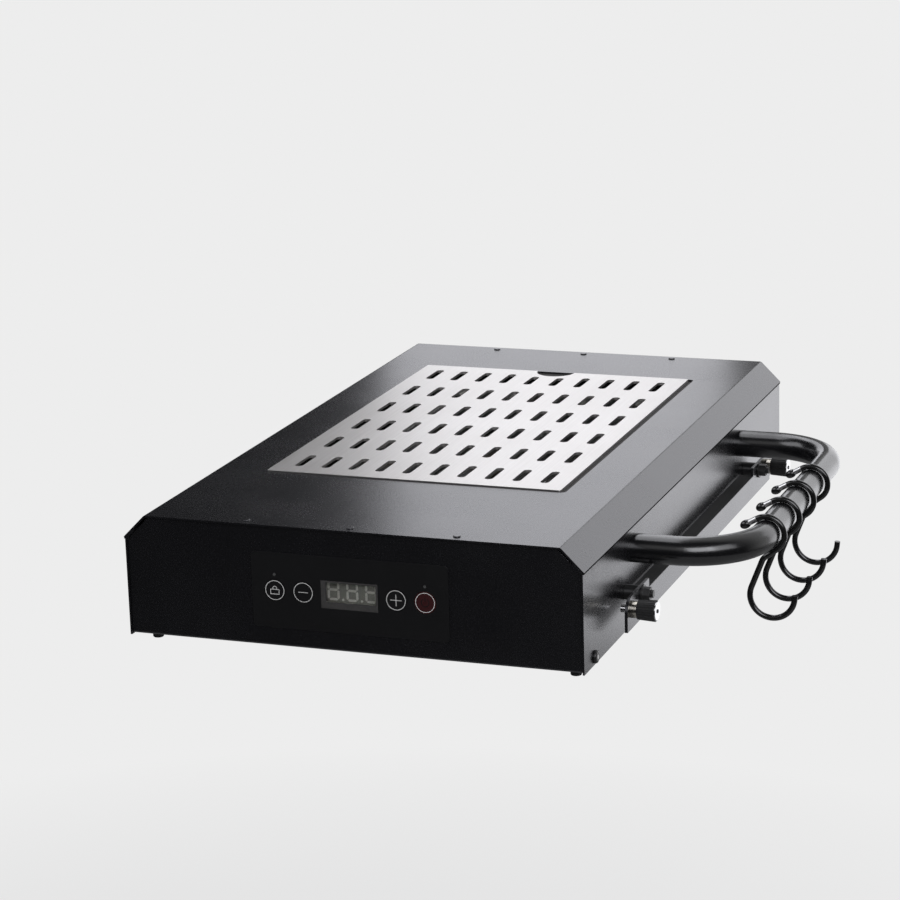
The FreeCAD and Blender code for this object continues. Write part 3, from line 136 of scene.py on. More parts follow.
# Copies of the solids: how they are merged, and how far the edges of each are eased
MERGE = 1e-6
FLAT = math.radians(0.4)
CREASE = math.radians(28.0)
EASE_SEGMENTS = 2
EASED = {
    0.35 * MM: ["top_cover", "left_wall", "right_wall", "front_panel", "rear_panel", "accessory_rail"],
    0.30 * MM: ["mounting_plate", "base_pan", "housing_screws", "rail_fixings"],
    0.20 * MM: ["grate", "burner_pan", "knob_ferrules", "mains_inlet", "tube_end_caps", "lead_bushings"],
    0.15 * MM: [
        "control_overlay", "knob_screw_front", "knob_screw_rear", "knob_grip_front", "knob_grip_rear",
    ],
    0.10 * MM: ["housing_rivets", "indicator_lamps", "inlet_pins", "tube_brackets"],
    0.0: [
        "handle_bar", "hook_1", "hook_2", "hook_3", "hook_4", "rubber_feet", "foot_fixings", "quartz_tubes",
        "reflector", "element_leads", "key_lock", "key_minus", "key_plus", "key_power",
    ],
}

# Solids whose coat differs from their slot's usual finish
COATED = {"housing_rivets": "black_powder_coat", "handle_bar": "handle_gloss"}

# Prints on the keys: arcs are a start and a sweep, in degrees
PRINT_DEPTH = 0.06 * MM
INK_LINE = 0.42 * MM
ARC_STEP = 7.5
FULL_TURN = 360.0
RING_RADIUS = 6.3 * MM
LOCK_WIDTH = 6.2 * MM
LOCK_HEIGHT = 3.5 * MM
LOCK_DROP = 1.0 * MM
SHACKLE_RADIUS = 1.35 * MM
SHACKLE_RISE = 0.5 * MM
SHACKLE_ARC = (-20.0, 220.0)
MINUS_WIDTH = 6.6 * MM
PLUS_WIDTH = 7.6 * MM
POWER_RADIUS = 2.6 * MM
POWER_ARC = (120.0, 300.0)
POWER_BAR_RISE = 2.2 * MM
POWER_BAR_HEIGHT = 3.0 * MM

# Film at the window, and dull black strips of painted shade at the cover's seams and on the rail
FILM_LEFT = 3.6 * MM
FILM_FOOT = 4.4 * MM
FILM_EDGE = 1.2 * MM
SEAM_LIP = 0.3 * MM
SEAM_RISE = 0.45 * MM
SEAM_DROP = 0.5 * MM
RAIL_FLANGE_RISE = 15.5 * MM
RAIL_TAB = 49.0 * MM
RAIL_SHADE_DEPTH = 0.25 * MM
RAIL_SHADE_INSET = 0.9 * MM

# Hook ends: the inner end of the wire from the hinge, and the way the wire runs back from it
HOOK_TAIL_END = Vector((-13.77, 0.0, 5.45)) * MM
HOOK_TAIL_TURN = math.radians(30.0)
HOOK_TAIL = Vector((math.cos(HOOK_TAIL_TURN), 0.0, math.sin(HOOK_TAIL_TURN)))
HOOK_BEAD = Vector((4.0, 2.9, 2.9)) * MM
BEAD_SIDES = 20
BEAD_RINGS = 12
# The bright stretch of wire on each hook's tail: a painted highlight on the black wire
HIGHLIGHT_WIRE_RADIUS = 2.0 * MM
HIGHLIGHT_WIRE_START = 2.0 * MM
HIGHLIGHT_WIRE_RUN = 6.5 * MM

# Knob studs, screw centres and filament coils
DISC_SIDES = 32
STUD_RADIUS = 1.2 * MM
STUD_DEPTH = 0.6 * MM
STUD_RISE = 0.5 * MM
SCREW_CENTRE_RADIUS = 1.5 * MM
COIL_WIRE = 0.4 * MM
COIL_SIDES = 6
COIL_PITCH = 2.2 * MM
COIL_STEPS = 12


# Shader maths, with the places of a Mix node's colour sockets

MIX_FACTOR = 0
MIX_FIRST = 6
MIX_SECOND = 7
MIX_RESULT = 2


class Value:
    """A shader socket that takes part in Python expressions."""

    def __init__(self, tree, socket=None):
        self.tree = tree
        self.socket = socket

    def node(self, kind, settings, inputs, output=0):
        """Adds a node: its settings first, then the values or links of its sockets."""
        made = self.tree.nodes.new(kind)
        for name, setting in settings.items():
            setattr(made, name, setting)
        for name, given in inputs.items():
            if isinstance(given, Value):
                self.tree.links.new(given.socket, made.inputs[name])
            else:
                made.inputs[name].default_value = given
        return Value(self.tree, made.outputs[output])

    def math(self, operation, *values):
        return self.node("ShaderNodeMath", {"operation": operation}, dict(enumerate(values)))

    def __add__(self, other):
        return self.math("ADD", self, other)

    __radd__ = __add__

    def __sub__(self, other):
        return self.math("SUBTRACT", self, other)

    def __rsub__(self, other):
        return self.math("SUBTRACT", other, self)

    def __mul__(self, other):
        return self.math("MULTIPLY", self, other)

    __rmul__ = __mul__

    def band(self, start, full):
        """0 up to a start, 1 from where it is full, and an even slope between."""
        return self.node("ShaderNodeMapRange", {}, {"Value": self, "From Min": start, "From Max": full})

    def between(self, low, high):
        """A number between two, by this value."""
        return low + self * (high - low)

    def mixed(self, other, share):
        """This value with a share of another."""
        return self * (1 - share) + other * share

    def tint(self, first, second):
        """A colour between two, by this value."""
        colours = {MIX_FACTOR: self, MIX_FIRST: opaque(first), MIX_SECOND: opaque(second)}
        return self.node("ShaderNodeMix", {"data_type": "RGBA"}, colours, MIX_RESULT)

    def stretched(self, amounts):
        return self.node("ShaderNodeMapping", {}, {"Vector": self, "Scale": amounts})

    def noise(self, scale, detail=2.0):
        return self.node("ShaderNodeTexNoise", {}, {"Vector": self, "Scale": scale, "Detail": detail})

    def cells(self, scale):
        """Grey cells of uneven brightness."""
        colour = self.node("ShaderNodeTexVoronoi", {}, {"Vector": self, "Scale": scale}, "Color")
        return self.node("ShaderNodeSeparateColor", {}, {"Color": colour})

    def threads(self, scale, waver):
        """Slanting threads side by side."""
        bands = {"Vector": self, "Scale": scale, "Distortion": waver}
        return self.node("ShaderNodeTexWave", {"bands_direction": "DIAGONAL"}, bands, "Fac")

    def bump(self, depth):
        return self.node("ShaderNodeBump", {}, {"Height": self, "Distance": depth})

    def part(self, axis):
        return self.node("ShaderNodeSeparateXYZ", {}, {"Vector": self}, axis)


def opaque(colour):
    return colour if isinstance(colour, Value) else (*colour, 1.0)


def grey(level, warm=0.0):
    """A grey, or one with a share more red and less blue."""
    return (level * (1 + warm), level, level * (1 - warm))


# Finishes

def grained(dark, light, rough, grain, depth, patch=SOFT_PATCHES):
    """Two close tones in soft patches, with a fine grain in tone, gloss and surface."""
    def paint(place):
        patches = place.noise(patch, detail=3.0)
        fine = place.noise(grain, detail=3.0)
        shade = patches.mixed(fine, GRAIN_SHARE).band(*NOISE_SPAN)
        return {
            "Base Color": shade.tint(dark, light),
            "Roughness": shade.between(*rough),
            "Normal": fine.bump(depth),
        }
    return paint


def brushed(dark, light, rough, along, depth, streak=STREAKS):
    """Fine streaks along one axis over faint wide patches."""
    def paint(place):
        drawn = [STREAK_DRAWN if axis == along else 1.0 for axis in "XYZ"]
        streaks = place.stretched(drawn).noise(streak, detail=3.0)
        patches = place.noise(STREAK_PATCHES)
        shade = streaks.mixed(patches, STREAK_PATCH_SHARE).band(*NOISE_SPAN)
        return {
            "Base Color": shade.tint(dark, light),
            "Roughness": streaks.between(*rough),
            "Normal": streaks.bump(depth),
        }
    return paint


def spangled(dark, light, rough):
    """Zinc flowers: flat cells of uneven brightness."""
    def paint(place):
        flowers = place.cells(ZINC_FLOWERS)
        fine = place.noise(ZINC_GRAIN)
        return {
            "Base Color": flowers.mixed(fine, ZINC_GRAIN_SHARE).tint(dark, light),
            "Roughness": flowers.between(*rough),
            "Normal": fine.bump(ZINC_DEPTH),
        }
    return paint


def heat_stained_and_shaded(dark, light, stain, rough):
    """Stained patches over a dull grain, in the tones it is given: heat stains, and on the burner pan and
    reflector also painted shade in their dark tones.
    """
    def paint(place):
        stains = place.noise(STAINS, detail=4.0)
        fine = place.noise(HEATED_GRAIN)
        bare = fine.band(*NOISE_SPAN).tint(dark, light)
        return {
            "Base Color": stains.band(*STAIN_SPAN).tint(bare, stain),
            "Roughness": stains.between(*rough),
            "Normal": fine.bump(HEATED_DEPTH),
        }
    return paint


def fibrous(dark, light):
    """Pressed fibre: short matted strands."""
    def paint(place):
        strands = place.stretched((1.0, FIBRE_DRAWN, 1.0)).noise(FIBRES, detail=4.0)
        crossed = place.stretched((FIBRE_DRAWN, 1.0, 1.0)).noise(CROSSED_FIBRES, detail=4.0)
        mat = strands.mixed(crossed, CROSSED_SHARE)
        return {
            "Base Color": mat.band(*NOISE_SPAN).tint(dark, light),
            "Roughness": mat.between(*FIBRE_ROUGH),
            "Normal": mat.bump(FIBRE_DEPTH),
        }
    return paint


def braided(dark, light):
    """A glass sleeve: two crossing sets of threads."""
    def paint(place):
        crossing = place.stretched((-1.0, 1.0, 1.0))
        weave = place.threads(BRAID_THREADS, BRAID_WAVER) * crossing.threads(BRAID_THREADS, BRAID_WAVER)
        return {
            "Base Color": weave.tint(dark, light),
            "Roughness": weave.between(*BRAID_ROUGH),
            "Normal": weave.bump(BRAID_DEPTH),
        }
    return paint


FINISHES = {}


def finish(name, paint, **constants):
    """Adds a material: constants sit on the shader's own sockets, and paint gives what varies."""
    material = bpy.data.materials.new(name)
    material.use_nodes = True
    tree = material.node_tree
    shader = tree.nodes["Principled BSDF"]
    for socket, value in constants.items():
        shader.inputs[socket.replace("_", " ")].default_value = value
    place = Value(tree).node("ShaderNodeTexCoord", {}, {}, "Object")
    for socket, value in paint(place).items():
        tree.links.new(value.socket, shader.inputs[socket])
    FINISHES[name] = material


finish(
    "black_powder_coat",
    grained(
        (0.006, 0.006, 0.007), (0.011, 0.011, 0.0125), rough=(0.22, 0.30), grain=900.0, depth=0.016 * MM
    ),
    Specular_IOR_Level=1.0,
    # The bluish specular tint is a painted cast on the coat's sheen, standing in for the colour of the light it
    # reflects
    Specular_Tint=(0.95, 0.95, 1.0, 1.0),
    Coat_Weight=0.2,
    Coat_Roughness=0.26,
)
finish(
    "handle_gloss",
    grained(
        (0.005, 0.005, 0.006), (0.009, 0.009, 0.010), rough=(0.19, 0.28), grain=900.0, depth=0.016 * MM
    ),
    Specular_IOR_Level=1.0,
    Coat_Weight=0.4,
    Coat_Roughness=0.15,
)
finish("galvanised_sheet", spangled(grey(0.48), grey(0.6), rough=(0.38, 0.48)), Metallic=1.0)
finish(
    "grate_steel",
    brushed(grey(0.62, 0.03), grey(0.74, 0.02), rough=(0.32, 0.44), along="Y", depth=0.006 * MM),
    Metallic=1.0,
)
# Partly heat tint, partly painted shade: the burner pan is darkened so the inside reads unlit through the
# grate's slots
finish(
    "pan_steel",
    heat_stained_and_shaded(grey(0.010), grey(0.018), stain=(0.016, 0.012, 0.009), rough=(0.5, 0.65)),
    Specular_IOR_Level=0.3,
)
# Partly heat dulling, partly painted shade: the reflector is darkened so the inside reads unlit through the
# grate's slots
finish(
    "reflector_sheet",
    heat_stained_and_shaded(grey(0.16), grey(0.24), stain=(0.2, 0.15, 0.1), rough=(0.38, 0.5)),
    Metallic=1.0,
)
finish(
    "black_fixings",
    grained(grey(0.012), grey(0.024), rough=(0.28, 0.42), grain=900.0, depth=0.012 * MM),
    Specular_IOR_Level=0.6,
)
finish(
    "zinc_fixings",
    grained(grey(0.5), (0.66, 0.65, 0.6), rough=(0.25, 0.4), grain=700.0, depth=0.006 * MM),
    Metallic=1.0,
)
finish("foot_rubber", grained(grey(0.015), grey(0.03), rough=(0.7, 0.85), grain=800.0, depth=0.04 * MM))
finish("fibre_board", fibrous((0.62, 0.58, 0.5), (0.84, 0.81, 0.75)))
finish(
    "quartz",
    grained(
        (0.95, 0.955, 0.95), (0.985, 0.985, 0.98), rough=(0.02, 0.05), grain=120.0, depth=0.001 * MM
    ),
    Transmission_Weight=1.0,
    IOR=1.46,
)
finish(
    "filament_wire",
    heat_stained_and_shaded(grey(0.5), grey(0.66), stain=(0.55, 0.44, 0.34), rough=(0.35, 0.5)),
    Metallic=1.0,
)
finish(
    "ceramic_white",
    grained((0.68, 0.66, 0.6), (0.84, 0.82, 0.77), rough=(0.5, 0.65), grain=700.0, depth=0.03 * MM),
)
finish("lead_sleeve", braided((0.45, 0.42, 0.35), (0.8, 0.77, 0.68)))
finish("lead_sheath", grained(grey(0.02), grey(0.035), rough=(0.4, 0.55), grain=600.0, depth=0.02 * MM))
finish(
    "panel_print",
    grained(
        (0.0045, 0.0045, 0.005), (0.0075, 0.0075, 0.0085), rough=(0.42, 0.52), grain=1800.0, depth=0.006 * MM
    ),
)
finish(
    "power_print",
    grained((0.038, 0.005, 0.006), (0.058, 0.008, 0.009), rough=(0.42, 0.52), grain=1800.0, depth=0.006 * MM),
)
finish(
    "window_lens",
    grained((0.93, 0.93, 0.9), (0.97, 0.97, 0.94), rough=(0.08, 0.16), grain=600.0, depth=0.002 * MM),
    Transmission_Weight=1.0,
    IOR=1.3,
)
finish("lamp_pipe", grained(grey(0.07), grey(0.11), rough=(0.2, 0.3), grain=900.0, depth=0.004 * MM))
finish(
    "circuit_board",
    grained(
        (0.012, 0.09, 0.035),
        (0.03, 0.19, 0.08),
        rough=(0.35, 0.5),
        grain=500.0,
        depth=0.01 * MM,
        patch=BOARD_PATCHES,
    ),
)
finish(
    "board_brass",
    brushed((0.62, 0.44, 0.18), (0.78, 0.6, 0.28), rough=(0.25, 0.38), along="Z", depth=0.004 * MM),
    Metallic=1.0,
)
finish("component_black", grained(grey(0.018), grey(0.03), rough=(0.45, 0.6), grain=900.0, depth=0.03 * MM))
finish(
    "display_body",
    grained((0.36, 0.36, 0.335), (0.45, 0.45, 0.42), rough=(0.5, 0.62), grain=900.0, depth=0.01 * MM),
)
finish(
    "display_segments",
    grained((0.9, 0.9, 0.86), (0.95, 0.95, 0.91), rough=(0.35, 0.45), grain=900.0, depth=0.004 * MM),
)
finish(
    "ribbon_grey",
    brushed(
        grey(0.3), grey(0.46), rough=(0.45, 0.6), along="Y", depth=0.05 * MM, streak=RIBBON_STREAKS
    ),
)
finish(
    "hook_black",
    grained(grey(0.010), grey(0.016), rough=(0.10, 0.2), grain=500.0, depth=0.006 * MM),
    Coat_Weight=0.6,
    Coat_Roughness=0.06,
)
finish("knob_rubber", grained(grey(0.014), grey(0.026), rough=(0.4, 0.55), grain=1100.0, depth=0.02 * MM))
finish(
    "knob_chrome",
    grained(grey(0.72), grey(0.82), rough=(0.07, 0.16), grain=500.0, depth=0.002 * MM),
    Metallic=1.0,
)
finish(
    "ferrule_steel",
    brushed((0.5, 0.47, 0.4), (0.78, 0.75, 0.68), rough=(0.16, 0.3), along="Y", depth=0.004 * MM),
    Metallic=1.0,
)
finish(
    "pale_ink",
    grained((0.72, 0.72, 0.7), (0.82, 0.82, 0.8), rough=(0.45, 0.55), grain=1500.0, depth=0.004 * MM),
)
finish(
    "dark_ink",
    grained((0.002, 0.0012, 0.0012), (0.004, 0.002, 0.002), rough=(0.6, 0.7), grain=1500.0, depth=0.004 * MM),
)
# Painted highlight: bright metal for the stretch of hook wire that stands in for a highlight on the black wire
finish(
    "painted_highlight_wire",
    grained(grey(0.8), grey(0.9), rough=(0.28, 0.38), grain=700.0, depth=0.004 * MM),
    Metallic=1.0,
)
finish(
    "grey_film",
    grained(grey(0.05, 0.03), grey(0.075, 0.03), rough=(0.4, 0.5), grain=900.0, depth=0.004 * MM),
)
# Painted shade: dull black for the strips that stand in for the shadow at the cover's seams
finish(
    "seam_shade_black",
    grained(grey(0.003), grey(0.006), rough=(0.85, 0.95), grain=700.0, depth=0.02 * MM),
    Specular_IOR_Level=0.1,
)


# Pieces

def piece(name, shape, material, body):
    """Turns a bmesh into an object that rides on a body."""
    mesh = bpy.data.meshes.new(name)
    shape.to_mesh(mesh)
    shape.free()
    mesh.polygons.foreach_set("use_smooth", [True] * len(mesh.polygons))
    mesh.set_sharp_from_angle(angle=CREASE)
    mesh.materials.append(FINISHES[material])
    made = bpy.data.objects.new(name, mesh)
    bpy.context.scene.collection.objects.link(made)
    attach(made, body)
    return made


def merged_copy(node):
    """A copy of a solid's mesh, with its loose triangles joined."""
    shape = bmesh.new()
    shape.from_mesh(frame["nodes"][node].data)
    bmesh.ops.remove_doubles(shape, verts=shape.verts, dist=MERGE)
    return shape


def finished_copy(node, ease):
    """A copy of a solid with whole faces and its sharp edges eased, in the solid's place."""
    shape = merged_copy(node)
    bmesh.ops.dissolve_limit(shape, angle_limit=FLAT, verts=shape.verts, edges=shape.edges)
    if ease:
        sharp = [edge for edge in shape.edges if edge.is_manifold and edge.calc_face_angle() > CREASE]
        bmesh.ops.bevel(
            shape,
            geom=sharp,
            offset=ease,
            offset_type="OFFSET",
            affect="EDGES",
            segments=EASE_SEGMENTS,
            profile=0.5,
            material=-1,
            clamp_overlap=True,
        )
    slot = NODE_SLOT[node]
    made = piece(f"{node}_finished", shape, COATED.get(node, slot), NODE_BODY[node])
    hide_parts(node)
    weighted = made.modifiers.new("even_shading", "WEIGHTED_NORMAL")
    weighted.keep_sharp = True


def block(shape, low, high):
    """A box between two corners."""
    size = Matrix.Diagonal((*(high - low), 1.0))
    bmesh.ops.create_cube(shape, size=1.0, matrix=Matrix.Translation((low + high) / 2) @ size)


def disc(shape, centre, axis, radius, depth):
    """A short round bar that starts at a point and runs along an axis."""
    turn = Z.rotation_difference(axis).to_matrix().to_4x4()
    bmesh.ops.create_cone(
        shape,
        cap_ends=True,
        segments=DISC_SIDES,
        radius1=radius,
        radius2=radius,
        depth=depth,
        matrix=Matrix.Translation(centre + axis * (depth / 2)) @ turn,
    )


def solid_boxes(node):
    """The two corners of each separate solid of a node."""
    shape = merged_copy(node)
    left = set(shape.verts)
    boxes = []
    while left:
        found = [left.pop()]
        for vert in found:
            for edge in vert.link_edges:
                other = edge.other_vert(vert)
                if other in left:
                    left.remove(other)
                    found.append(other)
        spans = list(zip(*(vert.co for vert in found)))
        boxes.append((Vector([min(span) for span in spans]), Vector([max(span) for span in spans])))
    shape.free()
    return sorted(boxes, key=lambda corners: tuple(corners[0]))


def turning_bodies(kind):
    """The name of each moving body of a kind, and the place of its joint."""
    joints = [joint for joint in BEHAVIOUR["joints"] if joint["child"].startswith(kind)]
    return [(joint["child"], Vector(joint["pos_m"])) for joint in joints]


# Prints on the keys

def ring_print(shape, centre, radius, start=0.0, sweep=FULL_TURN):
    """A flat ring, or an arc of one, printed on a face that looks along -Y."""
    low = centre - Y * PRINT_DEPTH
    inner = radius - INK_LINE / 2
    outer = radius + INK_LINE / 2
    corners = [(inner, 0), (outer, 0), (outer, 1), (inner, 1)]
    turn = Matrix.Rotation(-math.radians(start), 3, "Y")
    verts = [shape.verts.new(low + turn @ (X * reach) + Y * (side * PRINT_DEPTH)) for reach, side in corners]
    edges = [shape.edges.new((verts[i - 1], verts[i])) for i in range(len(verts))]
    closed = sweep >= FULL_TURN
    made = bmesh.ops.spin(
        shape,
        geom=verts + edges,
        cent=centre,
        axis=-Y,
        angle=math.radians(sweep),
        steps=round(sweep / ARC_STEP),
        use_merge=closed,
    )
    if not closed:
        last = [item for item in made["geom_last"] if isinstance(item, bmesh.types.BMVert)]
        bmesh.ops.contextual_create(shape, geom=verts)
        bmesh.ops.contextual_create(shape, geom=last)


def bar_print(shape, centre, width, height):
    """A flat bar printed on a face that looks along -Y."""
    reach = Vector((width, PRINT_DEPTH, height)) / 2
    middle = centre - Y * (PRINT_DEPTH / 2)
    block(shape, middle - reach, middle + reach)


def lock_icon(shape, centre):
    """An outlined padlock."""
    body = centre - Z * LOCK_DROP
    for side in (-1, 1):
        bar_print(shape, body + Z * (side * (LOCK_HEIGHT - INK_LINE) / 2), LOCK_WIDTH, INK_LINE)
        upright = body + X * (side * (LOCK_WIDTH - INK_LINE) / 2)
        bar_print(shape, upright, INK_LINE, LOCK_HEIGHT - 2 * INK_LINE)
    ring_print(shape, body + Z * (LOCK_HEIGHT / 2 + SHACKLE_RISE), SHACKLE_RADIUS, *SHACKLE_ARC)


def minus_icon(shape, centre):
    """A level bar."""
    bar_print(shape, centre, MINUS_WIDTH, INK_LINE)


def plus_icon(shape, centre):
    """A level bar, with half an upright above it and half below."""
    half = (PLUS_WIDTH - INK_LINE) / 2
    bar_print(shape, centre, PLUS_WIDTH, INK_LINE)
    for side in (-1, 1):
        bar_print(shape, centre + Z * (side * (INK_LINE + half) / 2), INK_LINE, half)


def power_icon(shape, centre):
    """An open ring, with a bar through the gap at its top."""
    ring_print(shape, centre, POWER_RADIUS, *POWER_ARC)
    bar_print(shape, centre + Z * POWER_BAR_RISE, INK_LINE, POWER_BAR_HEIGHT)


def ink_piece(name, shape, ink, body):
    """A print on a key, with its faces turned outwards."""
    bmesh.ops.recalc_face_normals(shape, faces=shape.faces)
    piece(name, shape, ink, body)


def key_prints():
    """A pale ring and icon on each key; the power key's icon is dark, and a piece of its own."""
    icons = {"lock": lock_icon, "minus": minus_icon, "plus": plus_icon, "power": power_icon}
    for name, icon in icons.items():
        body = f"key_{name}"
        low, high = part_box(body)
        centre = (low + high) / 2
        centre.y = low.y
        ring = bmesh.new()
        ring_print(ring, centre, RING_RADIUS)
        if name == "power":
            mark = bmesh.new()
            icon(mark, centre)
            ink_piece(f"{body}_mark", mark, "dark_ink", body)
        else:
            icon(ring, centre)
        ink_piece(f"{body}_print", ring, "pale_ink", body)


# Small pieces beside the solids

def window_film():
    """A grey film round the window's margins, widest at the left and the foot."""
    low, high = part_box("display_window")
    front = low.y - PRINT_DEPTH
    sill = low.z + FILM_FOOT
    head = high.z - FILM_EDGE
    shape = bmesh.new()
    block(shape, Vector((low.x, front, low.z)), Vector((high.x, low.y, sill)))
    block(shape, Vector((low.x, front, head)), Vector((high.x, low.y, high.z)))
    block(shape, Vector((low.x, front, sill)), Vector((low.x + FILM_LEFT, low.y, head)))
    block(shape, Vector((high.x - FILM_EDGE, front, sill)), Vector((high.x, low.y, head)))
    piece("window_film", shape, "grey_film", "housing")


def painted_seam_shade():
    """Painted shade: a dull black strip in the step between the cover's sloping edges and the walls, standing
    in for the shadow under the cover's cut edge.
    """
    low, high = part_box("top_cover")
    shape = bmesh.new()
    for wall, edge, inward in (("left_wall", low.x, 1), ("right_wall", high.x, -1)):
        wall_low, wall_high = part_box(wall)
        face = wall_low.x if inward > 0 else wall_high.x
        lip = edge + inward * SEAM_LIP
        first = Vector((min(face, lip), low.y, low.z - SEAM_DROP))
        last = Vector((max(face, lip), high.y, low.z + SEAM_RISE))
        block(shape, first, last)
    piece("painted_seam_shade", shape, "seam_shade_black", "housing")


def painted_rail_shade():
    """Painted shade: a dull black strip on the rail's flange, a little short of the wall, standing in for the
    flange's dark reflection of the shaded wall.
    """
    low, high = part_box("accessory_rail")
    top = low.z + RAIL_FLANGE_RISE
    first = Vector((low.x + RAIL_SHADE_INSET, low.y + RAIL_TAB, top))
    last = Vector((high.x - RAIL_SHADE_INSET / 2, high.y - RAIL_TAB, top + RAIL_SHADE_DEPTH))
    shape = bmesh.new()
    block(shape, first, last)
    piece("painted_rail_shade", shape, "foot_rubber", "housing")


def hook_ends():
    """Each hook's inner end: a dipped bead, and a stretch of bright metal wire that is a painted highlight on
    the black wire.
    """
    lie = Matrix.Rotation(-HOOK_TAIL_TURN, 4, "Y") @ Matrix.Diagonal((*HOOK_BEAD, 1.0))
    for body, hinge in turning_bodies("hook"):
        end = hinge + HOOK_TAIL_END
        bead = bmesh.new()
        bmesh.ops.create_uvsphere(
            bead,
            u_segments=BEAD_SIDES,
            v_segments=BEAD_RINGS,
            radius=1.0,
            matrix=Matrix.Translation(end) @ lie,
        )
        piece(f"{body}_bead", bead, "hook_black", body)
        # The painted highlight: a bright stretch of wire along the tail
        bare = bmesh.new()
        disc(bare, end + HOOK_TAIL * HIGHLIGHT_WIRE_START, HOOK_TAIL, HIGHLIGHT_WIRE_RADIUS, HIGHLIGHT_WIRE_RUN)
        piece(f"{body}_painted_highlight_wire", bare, "painted_highlight_wire", body)


def knob_studs():
    """The dark screw end in each knob's bright face."""
    for body, place in turning_bodies("knob"):
        screw_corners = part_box(body.replace("knob", "knob_screw"))
        place.x = screw_corners[1].x - STUD_DEPTH
        shape = bmesh.new()
        disc(shape, place, X, STUD_RADIUS, STUD_DEPTH + STUD_RISE)
        piece(f"{body}_stud", shape, "black_fixings", body)


def screw_centres():
    """The bright socket in each wall screw's head."""
    shape = bmesh.new()
    middle = sum(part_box("top_cover"), Vector()).x / 2
    for low, high in solid_boxes("housing_screws"):
        on_right = low.x > middle
        face = (low + high) / 2
        face.x = high.x if on_right else low.x
        disc(shape, face, X if on_right else -X, SCREW_CENTRE_RADIUS, PRINT_DEPTH)
    piece("screw_centres", shape, "zinc_fixings", "housing")


def filament_coils():
    """The wound wire inside each quartz tube: one turn, repeated along the tube."""
    node = "heating_filaments"
    slot = NODE_SLOT[node]
    rods = solid_boxes(node)
    shape = bmesh.new()
    for low, high in rods:
        foot = (low + high) / 2
        foot.y = low.y
        start = Matrix.Translation(foot + X * ((high.x - low.x) / 2 - COIL_WIRE))
        ring = bmesh.ops.create_circle(shape, segments=COIL_SIDES, radius=COIL_WIRE, matrix=start)["verts"]
        edges = dict.fromkeys(edge for vert in ring for edge in vert.link_edges)
        bmesh.ops.spin(
            shape,
            geom=ring + list(edges),
            cent=foot,
            axis=Y,
            dvec=Y * (COIL_PITCH / COIL_STEPS),
            angle=math.tau,
            steps=COIL_STEPS,
        )
    bmesh.ops.recalc_face_normals(shape, faces=shape.faces)
    coils = piece("filament_coils", shape, slot, NODE_BODY[node])
    length = min(high.y - low.y for low, high in rods)
    wound = coils.modifiers.new("wound", "ARRAY")
    wound.count = int(length / COIL_PITCH)
    wound.use_relative_offset = False
    wound.use_constant_offset = True
    wound.constant_offset_displace = Y * COIL_PITCH
    wound.use_merge_vertices = True
    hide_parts(node)


# Stage, light and camera

def ray_kinds(value):
    """1 for camera rays, and 1 for rays that mirror or pass through something."""
    camera_ray, glossy, through = (
        value.node("ShaderNodeLightPath", {}, {}, kind)
        for kind in ("Is Camera Ray", "Is Glossy Ray", "Is Transmission Ray")
    )
    return camera_ray, value.math("MAXIMUM", glossy, through)


def close_tree(tree, kind, surface):
    """Gives a node tree its output."""
    output = tree.nodes.new(kind)
    tree.links.new(surface.socket, output.inputs["Surface"])


def surroundings():
    """Pale to the camera; to mirrors a pale backdrop behind, a fainter one high in front, and a dim room."""
    world = bpy.data.worlds.new("surroundings")
    bpy.context.scene.world = world
    world.use_nodes = True
    tree = world.node_tree
    tree.nodes.clear()
    start = Value(tree)
    heading = start.node("ShaderNodeTexCoord", {}, {}, "Generated")
    across, along, upward = (heading.part(axis) for axis in "XYZ")
    above_floor = upward.band(*BACKDROP_FOOT)
    behind = along.band(*BACKDROP_EDGE) * above_floor.between(*BACKDROP_LEVELS) * across.band(*BACKDROP_LEFT)
    in_front = along.band(*FRONT_EDGE) * upward.band(*FRONT_FOOT) * upward.band(*FRONT_HEAD) * FRONT_GLOW
    camera_ray, mirrored = ray_kinds(start)
    unseen = mirrored * (ROOM + behind + in_front) + (1.0 - mirrored) * AMBIENT
    level = camera_ray * BACKGROUND + (1.0 - camera_ray) * unseen
    close_tree(tree, "ShaderNodeOutputWorld", start.node("ShaderNodeBackground", {}, {"Color": level}))


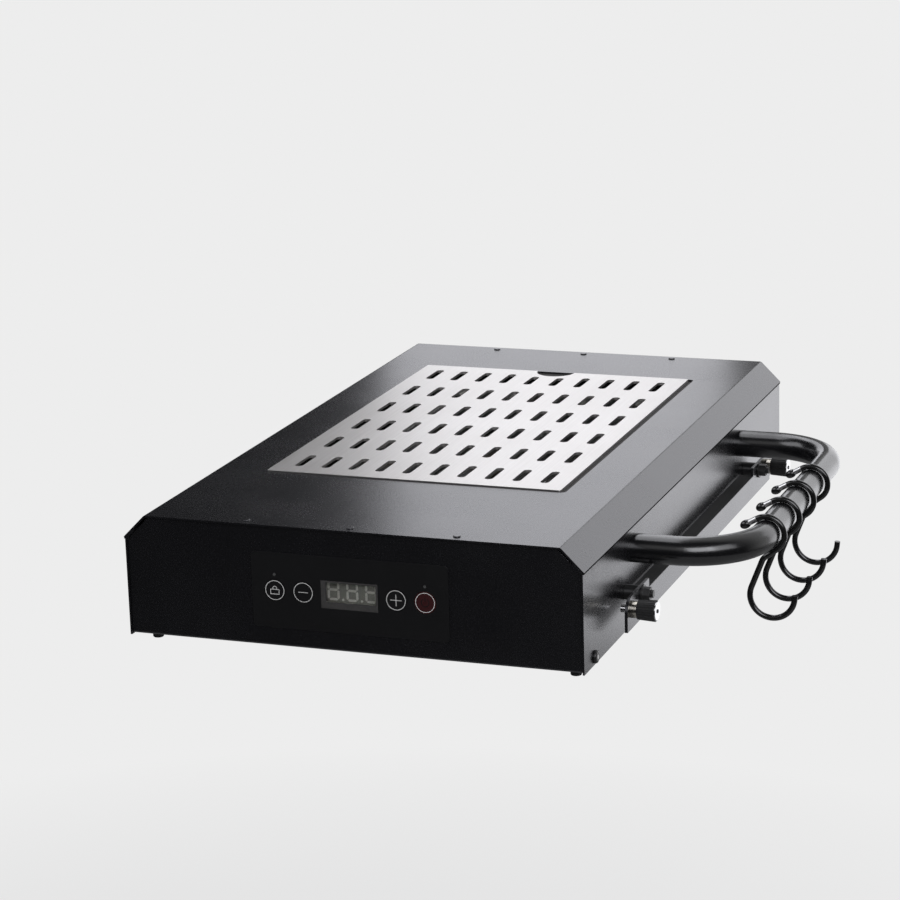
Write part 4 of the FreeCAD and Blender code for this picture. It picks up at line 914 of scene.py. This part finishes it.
def floor():
    """A pale round floor that keeps the part's shadow, and whose rim fades into the background."""
    shape = bmesh.new()
    bmesh.ops.create_circle(
        shape,
        cap_ends=True,
        segments=FLOOR_SIDES,
        radius=FLOOR_RADIUS,
        matrix=Matrix.Translation(FLOOR_CENTRE),
    )
    mesh = bpy.data.meshes.new("floor")
    shape.to_mesh(mesh)
    shape.free()
    made = bpy.data.objects.new("floor", mesh)
    bpy.context.scene.collection.objects.link(made)
    material = bpy.data.materials.new("pale_floor")
    material.use_nodes = True
    tree = material.node_tree
    tree.nodes.clear()
    start = Value(tree)
    place = start.node("ShaderNodeTexCoord", {}, {}, "Object")
    distance = start.node("ShaderNodeVectorMath", {"operation": "LENGTH"}, {0: place}, "Value")
    camera_ray, mirrored = ray_kinds(start)
    plain = distance.band(*FLOOR_FADE).between(FLOOR_PLAIN, 1.0)
    shown = camera_ray * plain + mirrored * FLOOR_DIMMED
    colour = opaque(grey(BACKGROUND))
    matt = start.node("ShaderNodeBsdfDiffuse", {}, {"Color": colour})
    glow = {"Color": colour, "Strength": camera_ray + mirrored * FLOOR_SHEEN}
    pale = start.node("ShaderNodeEmission", {}, glow)
    surface = start.node("ShaderNodeMixShader", {}, {0: shown, 1: matt, 2: pale})
    close_tree(tree, "ShaderNodeOutputMaterial", surface)
    mesh.materials.append(material)


def soft_box(name, place, aim, width, height, glow):
    """A lamp with the same glow at any size, turned to a point."""
    data = bpy.data.lights.new(name, "AREA")
    data.shape = "RECTANGLE"
    data.size = width
    data.size_y = height
    data.energy = glow * math.pi * width * height
    data.color = LAMP_COLOUR
    made = bpy.data.objects.new(name, data)
    made.location = place
    made.rotation_mode = "QUATERNION"
    made.rotation_quaternion = (Vector(aim) - Vector(place)).to_track_quat("-Z", "Y")
    bpy.context.scene.collection.objects.link(made)


def camera():
    """The camera at its angle and distance from the target, rolled about its own axis."""
    azimuth, elevation, roll = (
        math.radians(angle) for angle in (CAMERA_AZIMUTH, CAMERA_ELEVATION, CAMERA_ROLL)
    )
    level = math.cos(elevation)
    back = Vector((math.sin(azimuth) * level, -math.cos(azimuth) * level, math.sin(elevation)))
    right = Z.cross(back).normalized()
    up = back.cross(right)
    across = right * math.cos(roll) + up * math.sin(roll)
    upward = up * math.cos(roll) - right * math.sin(roll)
    data = bpy.data.cameras.new("camera")
    data.sensor_width = SENSOR
    data.lens = CAMERA_FOCUS_PIXELS / IMAGE_PIXELS * SENSOR
    made = bpy.data.objects.new("camera", data)
    turned = Matrix((across, upward, back)).transposed().to_4x4()
    made.matrix_world = Matrix.Translation(CAMERA_TARGET + back * CAMERA_DISTANCE) @ turned
    bpy.context.scene.collection.objects.link(made)
    bpy.context.scene.camera = made


for ease, nodes in EASED.items():
    for node in nodes:
        finished_copy(node, ease)
for node, made in frame["nodes"].items():
    made.data.materials.clear()
    made.data.materials.append(FINISHES[NODE_SLOT[node]])
key_prints()
window_film()
painted_seam_shade()
painted_rail_shade()
hook_ends()
knob_studs()
screw_centres()
filament_coils()
surroundings()
floor()
for name, setting in SOFT_BOXES.items():
    soft_box(name, *setting)
camera()
bpy.context.scene.view_settings.view_transform = "Standard"
